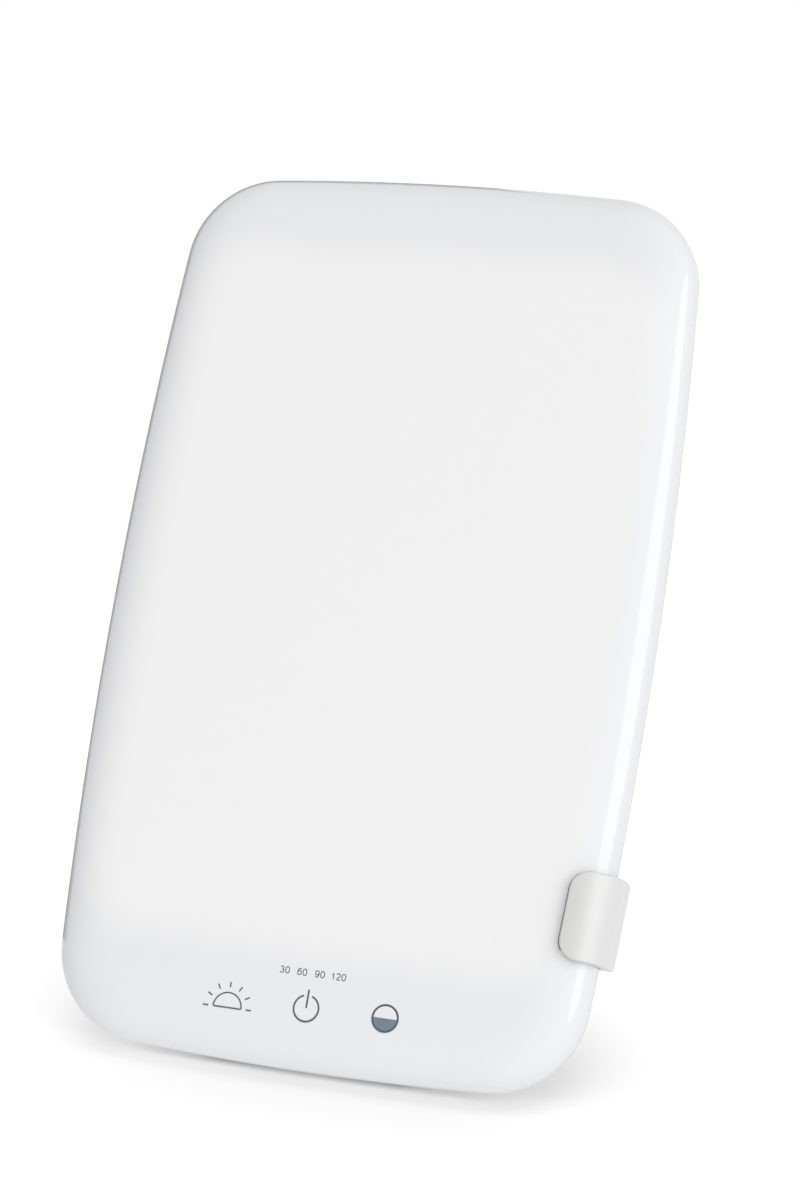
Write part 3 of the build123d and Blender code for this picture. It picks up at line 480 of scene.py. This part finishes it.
# one finish for each of the record's material slots
finishes = {
    "cover_opal": opal("opalCover", {
        **tones((0.857, 0.857, 0.855), (0.787, 0.791, 0.81)), **gloss(0.05, 0.075, 18),
        "litHalfX": 84.0, "litHalfY": 123.0, "litMiddle": 5.5, "round": 20.0, "soft": 14.0}),
    "cover_white": moulded("rearCoverPlastic", {
        **tones((0.80, 0.80, 0.795), (0.775, 0.777, 0.775), 14),
        **gloss(0.42, 0.5, 22), **relief(1500, 0.5, 0.04)}),
    "stand_grey": moulded("standPlastic", {
        **tones((0.61, 0.612, 0.597), (0.60, 0.601, 0.588)),
        **gloss(0.28, 0.36), **relief(1900, 0.5, 0.03),
        # painted light: the clip's side is a lighter tone than its front lobe, where the light from the
        # right falls
        "paintedLightTone": (0.70, 0.70, 0.70), "paintedLightFrom": 89, "paintedLightTo": 100,
        "sockets": {"Specular IOR Level": 0.75}}),
    "foot_rubber": moulded("footRubber", {
        **tones((0.55, 0.55, 0.54), (0.48, 0.48, 0.475), 120),
        **gloss(0.7, 0.85, 160), **relief(2600, 0.7, 0.04)}),
    "pad_rubber": moulded("padRubber", {
        **tones((0.17, 0.172, 0.17), (0.14, 0.142, 0.14), 120),
        **gloss(0.65, 0.8, 160), **relief(2600, 0.7, 0.04)}),
    "washer_nylon": moulded("washerNylon", {
        **tones((0.78, 0.76, 0.70), (0.72, 0.70, 0.63), 160),
        **gloss(0.32, 0.42, 200), **relief(2200, 0.3, 0.01),
        "sockets": {"Subsurface Weight": 0.15, "Subsurface Scale": 0.001}}),
    "frame_white": moulded("innerFramePlastic", {
        **tones((0.83, 0.83, 0.82), (0.79, 0.79, 0.785), 20),
        **gloss(0.4, 0.5), **relief(1700, 0.4, 0.03)}),
    "white_film": moulded("whiteFilm", {
        **tones((0.92, 0.92, 0.93), (0.88, 0.89, 0.90), 12),
        **gloss(0.16, 0.3, 14), **relief(300, 0.25, 0.02)}),
    "shield_black": moulded("shieldPlastic", {
        **tones((0.022, 0.022, 0.024), (0.03, 0.03, 0.031), 60),
        **gloss(0.42, 0.55, 90), **relief(2000, 0.5, 0.03)}),
    "chip_black": moulded("chipEpoxy", {
        **tones((0.028, 0.028, 0.03), (0.04, 0.04, 0.042), 300),
        **gloss(0.5, 0.66, 300), **relief(5200, 0.6, 0.02)}),
    "connector_ivory": moulded("connectorNylon", {
        **tones((0.80, 0.76, 0.64), (0.74, 0.69, 0.56), 180),
        **gloss(0.35, 0.46, 200), **relief(3000, 0.4, 0.015)}),
    "conductive_foam": moulded("conductiveFoam", {
        **tones((0.10, 0.10, 0.105), (0.06, 0.06, 0.065), 700),
        **gloss(0.8, 0.95, 600), **relief(900, 1.0, 0.3)}),
    "lead_red": moulded("redLead", {**tones((0.52, 0.03, 0.025), (0.44, 0.022, 0.02), 200), **lead}),
    "lead_black": moulded("blackLead", {**tones((0.025, 0.025, 0.026), (0.035, 0.035, 0.036), 200), **lead}),
    "lead_white": moulded("whiteLead", {**tones((0.82, 0.82, 0.80), (0.76, 0.76, 0.74), 200), **lead}),
    "screw_steel": worked("zincPlatedSteel", {
        **tones((0.66, 0.66, 0.64), (0.56, 0.57, 0.58), 260), "stretch": (2600, 2600, 900),
        "smooth": 0.24, "rough": 0.42, "bump": 0.3, "depth": 0.01 * mm}),
    "pin_plated": worked("platedSteel", {
        **tones((0.74, 0.73, 0.70), (0.66, 0.65, 0.62), 160), "stretch": (300, 3800, 3800),
        "smooth": 0.14, "rough": 0.28, "bump": 0.25, "depth": 0.006 * mm}),
    "pan_aluminium": worked("rolledAluminium", {
        **tones((0.80, 0.81, 0.82), (0.74, 0.75, 0.765), 9), "stretch": (2200, 35, 2200),
        "smooth": 0.3, "rough": 0.46, "bump": 0.35, "depth": 0.012 * mm}),
    "can_aluminium": canBody("capacitorCan", {
        **tones((0.78, 0.79, 0.80), (0.72, 0.73, 0.74), 120), "stretch": (900, 900, 3600),
        "smooth": 0.2, "rough": 0.34, "bump": 0.3, "depth": 0.01 * mm,
        "baseTone": (0.02, 0.02, 0.021), "baseHeight": 0.9}),
    "board_green": circuit("greenBoard", {
        **tones((0.012, 0.115, 0.045), (0.010, 0.095, 0.038), 60), **gloss(0.3, 0.42, 60), **tracks,
        "trackTone": (0.02, 0.19, 0.075)}),
    "board_white": circuit("lightBarBoard", {
        **tones((0.83, 0.83, 0.81), (0.79, 0.79, 0.775), 40), **gloss(0.3, 0.42, 60), **tracks,
        "trackTone": (0.88, 0.87, 0.84)}),
    "clear_acrylic": clearSheet("lightGuideAcrylic", {
        **tones((0.985, 0.995, 0.99), (0.975, 0.99, 0.985), 8), **gloss(0.015, 0.04, 10),
        "clear": 1.0, "bend": 1.49, "dotScale": 500.0, "largeDot": 0.38, "smallDot": 0.16, "barX": 0.081,
        "dotTone": (0.96, 0.96, 0.96), "frost": 0.5, "grooves": 60.0, "bump": 0.02, "depth": 0.002 * mm}),
    "clear_film": clearSheet("prismFilm", {
        **tones((0.97, 0.97, 0.98), (0.95, 0.96, 0.97), 9), **gloss(0.08, 0.16, 14), **noDots,
        "clear": 0.9, "bend": 1.57, "grooves": 780.0, "bump": 0.9, "depth": 0.1 * mm}),
    "diffuser_sheet": clearSheet("diffuserSheet", {
        **tones((0.93, 0.93, 0.93), (0.90, 0.90, 0.905), 10), **gloss(0.5, 0.62, 30), **noDots,
        "clear": 0.3, "bend": 1.49, "grooves": 900.0, "bump": 0.05, "depth": 0.01 * mm}),
    "ribbon_white": flatCable("flatCable", {
        **tones((0.86, 0.86, 0.85), (0.82, 0.82, 0.81), 80), **gloss(0.25, 0.35, 80),
        "wires": 314.0, "wireFrom": 0.55, "wireTo": 0.75, "wireTone": (0.62, 0.62, 0.63),
        "bump": 0.5, "depth": 0.05 * mm}),
    "led_phosphor": ledBody("ledPackage", {
        **tones((0.85, 0.66, 0.10), (0.78, 0.58, 0.07), 700),
        **gloss(0.3, 0.42, 300), **relief(4000, 0.4, 0.01), "housing": ledHousing,
        "along": "Y", "first": lamp["plateLift"], "pitch": lamp["ledPitch"], "half": 1.15,
        "shines": rightward}),
}
# the timer's lights share the light bars' slot, but shine out of the front
ownFinish = {
    "indicator_leds": ledBody("indicatorLed", {
        **tones((0.80, 0.78, 0.60), (0.74, 0.71, 0.52), 900),
        **gloss(0.15, 0.25, 300), **relief(4000, 0.3, 0.01), "housing": ledHousing,
        "along": "X", "first": lamp["timerX"], "pitch": lamp["timerPitch"], "half": 0.7,
        "shines": inward}),
}
for row in record["subparts"]:
    node = nodes[row["node"]]
    node.data.materials.clear()
    node.data.materials.append(ownFinish.get(row["node"], finishes[row["material_slot"]]))
print("stage 2: finishes made for", len(finishes), "material slots")


# the lines of the lamp's outline: centre points and outward directions all round. Four long arcs and four
# corner arcs follow one another; a point of an inset line is its arc's own point plus the corner radius less
# the inset, times the outward direction
def lampOutline(steps):
    coreX = lamp["width"] / 2 - lamp["cornerRadius"]
    coreY = lamp["height"] / 2 - lamp["cornerRadius"]
    cornerX, cornerY = coreX - lamp["sideBow"], coreY - lamp["endBow"]
    sideRadius = (cornerY**2 + lamp["sideBow"] ** 2) / (2 * lamp["sideBow"])
    endRadius = (cornerX**2 + lamp["endBow"] ** 2) / (2 * lamp["endBow"])
    side = (sideRadius, asin(cornerY / sideRadius), coreX, steps["side"])
    end = (endRadius, asin(cornerX / endRadius), coreY, steps["end"])
    quarter = pi / 2
    arcs = []
    for turn in range(4):
        (radius, swing, reach, count), following = (side, end) if turn % 2 == 0 else (end, side)
        facing = turn * quarter
        centre = (reach - radius) * np.array((np.cos(facing), np.sin(facing)))
        arcs.append((centre, radius, facing - swing, facing + swing, count))
        halfway = facing + quarter / 2
        corner = np.sign((np.cos(halfway), np.sin(halfway))) * (cornerX, cornerY)
        arcs.append((corner, 0.0, facing + swing, facing + quarter - following[1], steps["corner"]))
    points, outs = [], []
    for centre, radius, begin, finish, count in arcs:
        angle = np.linspace(begin, finish, count, endpoint=False)
        out = np.stack((np.cos(angle), np.sin(angle)), axis=1)
        points.append(np.array(centre) + radius * out)
        outs.append(out)
    return np.concatenate(points), np.concatenate(outs)


# the opal cover: a rounded section carried round the outline. The section is a flattened ellipse,
# (1 - inset / width)^p + (1 - depth / height)^p = 1, from the seam to the flat front, and then the same line
# moved inwards by the wall, square to itself
def frontShell():
    cover = {
        "roundWidth": 22.0, "roundDepth": 13.0, "fullness": 2.6, "roundSteps": 44,
        "wall": 2.0, "seam": 13.3, "rimBreak": 0.15, "flatInset": 32.0,
        "steps": {"side": 56, "end": 36, "corner": 40},
    }
    turn = np.linspace(0, pi / 2, cover["roundSteps"])
    power = 2 / cover["fullness"]
    inset = cover["roundWidth"] * (1 - np.cos(turn) ** power)
    depth = cover["roundDepth"] * (1 - np.sin(turn) ** power)
    slopeInset, slopeDepth = np.gradient(inset, turn), np.gradient(depth, turn)
    slopeInset[0], slopeDepth[0] = 0.0, -1.0
    slopeInset[-1], slopeDepth[-1] = 1.0, 0.0
    size = np.hypot(slopeInset, slopeDepth)
    innerInset = inset - cover["wall"] * slopeDepth / size
    innerDepth = depth + cover["wall"] * slopeInset / size
    rimInset = [cover["wall"], cover["rimBreak"], 0.0]
    rimDepth = [cover["seam"], cover["seam"], cover["seam"] - cover["rimBreak"]]
    flat = [cover["flatInset"]]
    sectionInset = np.concatenate((flat, innerInset[::-1], rimInset, inset, flat))
    sectionDepth = np.concatenate(([cover["wall"]], innerDepth[::-1], rimDepth, depth, [0.0]))
    path, out = lampOutline(cover["steps"])
    reach = lamp["cornerRadius"] - sectionInset
    x = path[None, :, 0] + reach[:, None] * out[None, :, 0]
    y = path[None, :, 1] + reach[:, None] * out[None, :, 1]
    points = onLamp(x, y, sectionDepth[:, None])
    around = len(path)
    faces = ringFaces(len(sectionInset), around)
    last = (len(sectionInset) - 1) * around
    faces.append(list(range(around))[::-1])
    faces.append(list(range(last, last + around)))
    shell = newPiece("opal_front", (points, faces), finishes["cover_opal"], "lamp")
    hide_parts("front_cover")


frontShell()
print("stage 3: front cover")


# points along a circle's arc, angles in degrees counted from the right
def arc(centre, radius, begin, end, count):
    angle = np.radians(np.linspace(begin, end, count))
    return np.asarray(centre) + radius * np.stack((np.cos(angle), np.sin(angle)), axis=1)


# a flat bar along a line: each point is moved sideways by half the width both ways, at an upper and a lower
# depth
def flatBar(line, width, top, bottom, closed=False):
    line = np.asarray(line, float)
    along = np.roll(line, -1, 0) - np.roll(line, 1, 0) if closed else np.gradient(line, axis=0)
    along = along / np.linalg.norm(along, axis=1)[:, None]
    side = np.stack((along[:, 1], -along[:, 0]), axis=1) * width / 2
    flat = np.stack((line + side, line + side, line - side, line - side), axis=1)
    depth = np.broadcast_to((bottom, top, top, bottom), flat.shape[:2])
    count = 4 * len(line)
    ends = [] if closed else [[0, 1, 2, 3], [count - 1, count - 2, count - 3, count - 4]]
    return onLamp(flat[..., 0], flat[..., 1], depth), ringFaces(len(line), 4, closed) + ends


# a flat plate inside an outline, at an upper and a lower depth
def flatPlate(outline, top, bottom):
    count = len(outline)
    flat = np.stack((outline, outline))
    depth = np.broadcast_to([[bottom], [top]], flat.shape[:2])
    caps = [list(range(count))[::-1], list(range(count, 2 * count))]
    return onLamp(flat[..., 0], flat[..., 1], depth), ringFaces(2, count) + caps


printed = {"top": -0.03, "bottom": 0.05}  # the print stands this little proud of the cover, in mm
inkRelief = {**gloss(0.2, 0.28, 300), **relief(6000, 0.3, 0.004)}
darkInk = moulded("iconInk", {**tones((0.085, 0.108, 0.125), (0.075, 0.096, 0.112), 600), **inkRelief})
fillInk = moulded("iconFillInk", {**tones((0.15, 0.215, 0.262), (0.14, 0.20, 0.245), 600), **inkRelief})


def inkBar(line, width, closed=False):
    return flatBar(line, width, printed["top"], printed["bottom"], closed)


def newPrint(name, shape, ink):
    newPiece(name, shape, ink, "lamp")


# half a sun on its closed base line, its two lower corners rounded, with straight rays at equal angles
def sunriseIcon():
    look = {
        "x": -26.95, "rise": 17.15, "radius": 5.1, "corner": 0.45, "line": 0.5,
        "rays": 7, "rayFrom": 6.9, "rayTo": 8.8, "archSteps": 60, "cornerSteps": 7, "baseSteps": 12,
    }
    middle = np.array((look["x"], bottomEnd + look["rise"]))
    radius, corner = look["radius"], look["corner"]
    cornerX = np.sqrt((radius - corner) ** 2 - corner**2)
    turn = degrees(atan2(corner, cornerX))
    base = np.linspace(-cornerX, cornerX, look["baseSteps"])[1:-1]
    sun = np.concatenate((
        arc(middle + (cornerX, corner), corner, -90, turn, look["cornerSteps"]),
        arc(middle, radius, turn, 180 - turn, look["archSteps"])[1:-1],
        arc(middle + (-cornerX, corner), corner, 180 - turn, 270, look["cornerSteps"]),
        middle + np.stack((base, 0 * base), axis=1),
    ))
    shapes = [inkBar(sun, look["line"], closed=True)]
    for angle in np.linspace(0, pi, look["rays"]):
        out = np.array((np.cos(angle), np.sin(angle)))
        shapes.append(inkBar((middle + look["rayFrom"] * out, middle + look["rayTo"] * out), look["line"]))
    newPrint("sunrise_icon", joined(shapes), darkInk)


# an open ring with an upright stroke in its gap
def powerIcon():
    look = {
        "x": 1.3, "rise": 20.6, "outside": 4.78, "line": 0.64,
        "gap": 19, "stemFrom": 0.1, "stemTo": 6.4, "ringSteps": 90,  # the gap is in degrees, on each side
    }
    middle = np.array((look["x"], bottomEnd + look["rise"]))
    radius = look["outside"] - look["line"] / 2
    ring = arc(middle, radius, 90 + look["gap"], 450 - look["gap"], look["ringSteps"])
    stem = (middle + (0, look["stemFrom"]), middle + (0, look["stemTo"]))
    newPrint("power_icon", joined([inkBar(ring, look["line"]), inkBar(stem, look["line"])]), darkInk)


# a ring whose lower half is filled
def dimmerIcon():
    look = {"x": 29.6, "rise": 21.0, "outside": 4.85, "line": 0.74, "ringSteps": 96}
    middle = np.array((look["x"], bottomEnd + look["rise"]))
    ring = arc(middle, look["outside"] - look["line"] / 2, 0, 360, look["ringSteps"] + 1)[:-1]
    newPrint("dimmer_icon_ring", inkBar(ring, look["line"], closed=True), darkInk)
    half = arc(middle, look["outside"] - look["line"], 180, 360, look["ringSteps"] // 2 + 1)
    newPrint("dimmer_icon_fill", flatPlate(half, printed["top"], printed["bottom"]), fillInk)


# the centre lines of the timer's figures in a box of one by one: arcs of ellipses, and straight strokes
def figureLines(figure):
    if figure == "0":
        turn = np.linspace(0, 2 * pi, 41)[:-1]
        rounded = np.stack((np.cos(turn), np.sin(turn)), axis=1)
        return [(0.5 + 0.5 * np.sign(rounded) * np.abs(rounded) ** 0.8, True)]
    if figure == "1":
        return [(np.array(((0.22, 0.74), (0.45, 0.79), (0.62, 0.98), (0.62, 0.5), (0.62, 0.0))), False)]
    if figure == "2":
        hook = (0.5, 0.71) + arc((0, 0), 1, 165, -38, 22) * (0.47, 0.29)
        return [(np.concatenate((hook, [(0.3, 0.27), (0.0, 0.0), (0.4, 0.0), (1.0, 0.0)])), False)]
    if figure == "3":
        upper = (0.48, 0.745) + arc((0, 0), 1, 160, -90, 20) * (0.42, 0.255)
        lower = (0.48, 0.26) + arc((0, 0), 1, 90, -160, 22) * (0.5, 0.26)
        return [(upper, False), (lower, False)]
    bowl = (0.5, 0.32) + arc((0, 0), 1, 0, 360, 33)[:-1] * (0.5, 0.32)
    neck = (0.56, 0.4) + arc((0, 0), 1, 180, 42, 18) * (0.56, 0.6)
    lines = [(bowl, True), (neck, False)]
    return lines if figure == "6" else [(1 - line, closed) for line, closed in lines]


# the timer's minutes, figure by figure, each number set about its own middle
def timerNumbers():
    look = {
        "minutes": ("30", "60", "90", "120"), "x": (-8.5, -2.2, 4.2, 10.9), "rise": 31.4,
        "width": 1.62, "height": 2.5, "gap": 0.31, "line": 0.33,
    }
    step, inset = look["width"] + look["gap"], look["line"] / 2
    size = np.array((look["width"], look["height"])) - look["line"]
    shapes = []
    for number, middle in zip(look["minutes"], look["x"]):
        first = middle - (len(number) * step - look["gap"]) / 2
        for place, figure in enumerate(number):
            start = (first + place * step + inset, bottomEnd + look["rise"] + inset)
            for line, closed in figureLines(figure):
                shapes.append(inkBar(start + line * size, look["line"], closed))
    newPrint("timer_numbers", joined(shapes), darkInk)


sunriseIcon()
powerIcon()
dimmerIcon()
timerNumbers()
print("stage 4: touch icons and timer numbers")


# a thin dark band of rubber on the side wall of the clip's inner edge, as painted shade for the dark line
# where the edge meets the lamp: a bar carried down the edge and part of the way round its two corners,
# leaning with the clip as the lamp's side does
def paintedShadeLip():
    lip = {
        "edgeTop": (86.93, 78.9), "edgeBottom": (85.37, 48.6),  # the clip's inner edge: x and rise
        "corner": 6.5, "width": 0.36, "shows": 0.32, "tucked": 0.12,
        "turnTop": 54, "turnBottom": 36, "turnSteps": 12,  # how far it goes round the corners, in degrees
        "top": -2.5, "bottom": 0.5,
    }
    (topX, topRise), (bottomX, bottomRise) = lip["edgeTop"], lip["edgeBottom"]
    inset = lip["width"] / 2
    radius = lip["corner"] - inset
    middleX = inset - lip["shows"] + radius
    low, high = bottomRise + lip["tucked"] + inset, topRise - lip["tucked"] - inset
    line = np.concatenate((
        arc((middleX, high - radius), radius, 180 - lip["turnTop"], 180, lip["turnSteps"]),
        arc((middleX, low + radius), radius, 180, 180 + lip["turnBottom"], lip["turnSteps"]),
    ))
    slope = (topX - bottomX) / (topRise - bottomRise)
    line[:, 0] += bottomX + (line[:, 1] - bottomRise) * slope
    line[:, 1] += bottomEnd
    band = flatBar(line, lip["width"], lip["top"], lip["bottom"])
    # painted shade: the dark band along the clip's edge, in the lining's rubber
    newPiece("clip_painted_shade_lip", band, finishes["pad_rubber"], "stand")


paintedShadeLip()
print("stage 5: the lip of the clip's lining")


# 1 for rays from the camera, from gloss and through glass, else 0
def pictureRays(tree, column, row):
    rays = addNode(tree, "LightPath", column, row)
    first = addNode(tree, "Math", column + 1, row, (rays, "Is Camera Ray"), (rays, "Is Glossy Ray"),
                    operation="MAXIMUM")
    return addNode(tree, "Math", column + 2, row, first, (rays, "Is Transmission Ray"), operation="MAXIMUM")


# a number that goes smoothly from its first to its last value between two values of the source
def ramp(tree, column, row, source, look):
    return addNode(tree, "MapRange", column, row, source, look["from"], look["to"],
                   look["first"], look["last"], interpolation_type="SMOOTHSTEP")


# 1 in a band across an axis, else 0, with a soft edge
def bandAcross(tree, column, row, source, look):
    off = addNode(tree, "Math", column, row, source, look["middle"], operation="SUBTRACT")
    size = addNode(tree, "Math", column + 1, row, off, operation="ABSOLUTE")
    edge = look["half"] + look["soft"]
    return addNode(tree, "MapRange", column + 2, row, size, look["half"], edge, 1.0, 0.0)


floorLook = {
    "halfSize": 8.0, "tone": 0.36,
    # the glow that lights the lamp from below, less on the left, and its share in a patch under the lamp
    "bounce": {"from": -0.2, "to": -0.06, "first": 0.26, "last": 0.61},
    "underX": {"middle": 0.0, "half": 0.06, "soft": 0.016},
    "underY": {"middle": -0.053, "half": 0.020, "soft": 0.003},
    "underShare": 0.08,
    # the camera sees another glow, by how open the floor is: in the open, close to the lamp and in the dark
    # core under it. The shade reaches further in front of the lamp, and is lighter on the left
    "reach": 0.075, "rays": 16,
    "openGlow": 0.80, "openFrom": {"from": -0.1, "to": -0.085, "first": 1.02, "last": 0.92},
    "closeShare": 0.55, "closeGlow": {"from": -0.1, "to": 0.0, "first": 0.58, "last": 0.50},
    "coreShare": 0.08, "coreEnd": 0.22, "coreGlow": 0.12,
    # away from the lamp it is plain white to the camera
    "fade": {"from": 0.2, "to": 0.5, "first": 0.0, "last": 1.0},
}


# a flat square: near the lamp it takes the light's shadow and a soft contact shade, and further off it is
# plain white to the camera; it throws back less light on the left, and little from a patch under the lamp
def makeFloor():
    look = floorLook
    half = look["halfSize"]
    mesh = bpy.data.meshes.new("floor")
    corners = [(-half, -half, 0), (half, -half, 0), (half, half, 0), (-half, half, 0)]
    mesh.from_pydata(corners, [], [(0, 1, 2, 3)])
    floor = newObject("floor", mesh)
    material = bpy.data.materials.new("paleFloor")
    material.use_nodes = True
    tree = material.node_tree
    tree.nodes.remove(tree.nodes["Principled BSDF"])
    where = addNode(tree, "TexCoord", -8, 4)
    parts = addNode(tree, "SeparateXYZ", -7, 4, (where, "Object"))
    x, y = (parts, "X"), (parts, "Y")
    underX = bandAcross(tree, -6, 7, x, look["underX"])
    underY = bandAcross(tree, -6, 8, y, look["underY"])
    under = addNode(tree, "Math", -3, 7, underX, underY, operation="MULTIPLY")
    kept = addNode(tree, "MapRange", -2, 7, under, 0.0, 1.0, 1.0, look["underShare"])
    bounce = addNode(tree, "Math", -1, 6, ramp(tree, -2, 6, x, look["bounce"]), kept, operation="MULTIPLY")
    contact = addNode(tree, "AmbientOcclusion", -6, 2, samples=look["rays"], Distance=look["reach"])
    closeGlow = ramp(tree, -6, 1, x, look["closeGlow"])
    openFrom = ramp(tree, -6, 3, y, look["openFrom"])
    core = addNode(tree, "MapRange", -5, 1, (contact, "AO"), look["coreShare"], look["coreEnd"],
                   look["coreGlow"], closeGlow)
    seen = addNode(tree, "MapRange", -4, 2, (contact, "AO"), look["closeShare"], openFrom, core,
                   look["openGlow"])
    shown = pictureRays(tree, -6, 0)
    level = mixNumbers(tree, -2, 2, shown, bounce, seen)
    white = shade((1, 1, 1))
    matt = addNode(tree, "BsdfDiffuse", -1, 1, Color=shade((look["tone"],) * 3))
    glow = addNode(tree, "Emission", -1, 2, Color=white, Strength=level)
    plain = addNode(tree, "Emission", -1, 3, Color=white, Strength=1.0)
    away = addNode(tree, "VectorMath", -4, 4, (where, "Object"), operation="LENGTH")
    fade = ramp(tree, -3, 4, (away, "Value"), look["fade"])
    share = addNode(tree, "Math", -2, 4, fade, shown, operation="MULTIPLY")
    both = addNode(tree, "AddShader", 0, 1, matt, glow)
    mixed = addNode(tree, "MixShader", 1, 1, share, both, plain)
    feed(tree, tree.nodes["Material Output"], "Surface", mixed)
    mesh.materials.append(material)


# the direction from the lamp out to an azimuth, 0 in front and 90 to the right, and an elevation
def towards(look):
    turn, rise = radians(look["azimuth"]), radians(look["rise"])
    return Vector((np.sin(turn) * np.cos(rise), -np.cos(turn) * np.cos(rise), np.sin(rise)))


skyLook = {
    "surround": 0.15,
    "glows": [
        {"azimuth": 8, "rise": 40, "level": 1.26},
        {"azimuth": 85, "rise": 12, "level": 1.07},
    ],
}


# a dim surround with broad soft glows, each its level times the squared cosine off its direction; the
# camera, gloss and glass see it as white
def makeWorld():
    world = bpy.data.worlds.new("studio")
    bpy.context.scene.world = world
    world.use_nodes = True
    tree = world.node_tree
    where = addNode(tree, "TexCoord", -7, 2)
    total = skyLook["surround"]
    for row, glow in enumerate(skyLook["glows"], 1):
        facing = addNode(tree, "VectorMath", -6, row, (where, "Generated"), towards(glow),
                         operation="DOT_PRODUCT")
        ahead = addNode(tree, "Math", -5, row, (facing, "Value"), 0.0, operation="MAXIMUM")
        squared = addNode(tree, "Math", -4, row, ahead, ahead, operation="MULTIPLY")
        total = addNode(tree, "Math", -3, row, squared, glow["level"], total, operation="MULTIPLY_ADD")
    level = mixNumbers(tree, -1, 0, pictureRays(tree, -4, 0), total, 1.0)
    back = tree.nodes["Background"]
    back.inputs["Color"].default_value = shade((1, 1, 1))
    feed(tree, back, "Strength", level)


# an area light on the right that only gloss sees; its power is its brightness times four times its area
def makeSoftbox():
    box = {"azimuth": 81, "rise": 17, "away": 1.6, "wide": 1.3, "tall": 1.0, "level": 1.5}
    light = bpy.data.lights.new("rightBox", "AREA")
    light.shape = "RECTANGLE"
    light.size, light.size_y = box["wide"], box["tall"]
    light.energy = 4 * box["level"] * box["wide"] * box["tall"]
    holder = newObject("rightBox", light)
    out = towards(box)
    holder.location = Vector(lampMiddle) + out * box["away"]
    holder.rotation_euler = out.to_track_quat("Z", "Y").to_euler()
    holder.visible_camera = holder.visible_diffuse = False


# an angled black card behind on the left, seen only by gloss: it draws the dark line along the left rim
def makeDarkCard():
    card = {"left": -1.3, "right": -0.11, "near": 0.0, "far": 0.5, "top": 0.6, "lift": 0.002}
    tone = (0.01, 0.01, 0.01)
    section = [(card["near"], card["lift"]), (card["far"], card["lift"]), (card["far"], card["top"])]
    points = [(x, y, z) for y, z in section for x in (card["left"], card["right"])]
    mesh = bpy.data.meshes.new("dark_card")
    mesh.from_pydata(points, [], [(0, 1, 3, 2), (2, 3, 5, 4)])
    mesh.materials.append(newSkin("blackCard", {"Base Color": shade(tone), "Specular IOR Level": 0.0})[0])
    holder = newObject("dark_card", mesh)
    holder.visible_camera = holder.visible_diffuse = False
    holder.visible_shadow = holder.visible_transmission = False


def makeCamera():
    look = {
        "azimuth": 19.01, "elevation": 16.70, "lens": 95.93, "sensor": 36, "nearest": 0.05, "farthest": 60,
        "away": 1.11219, "right": 0.01043, "up": 0.00312,  # from the lamp's middle, in metres
    }
    turned = Euler((radians(90 - look["elevation"]), 0, radians(look["azimuth"]))).to_matrix()
    side, up, back = turned.col
    camera = newObject("camera", bpy.data.cameras.new("camera"))
    camera.location = Vector(lampMiddle) + back * look["away"] + side * look["right"] + up * look["up"]
    camera.rotation_euler = turned.to_euler()
    camera.data.lens = look["lens"]
    camera.data.sensor_width = look["sensor"]
    camera.data.clip_start, camera.data.clip_end = look["nearest"], look["farthest"]
    bpy.context.scene.camera = camera


makeFloor()
makeWorld()
makeSoftbox()
makeDarkCard()
makeCamera()
bpy.context.scene.view_settings.view_transform = "Standard"
print("stage 6: floor, lights and camera; the lamp leans", round(degrees(lean), 2), "degrees")
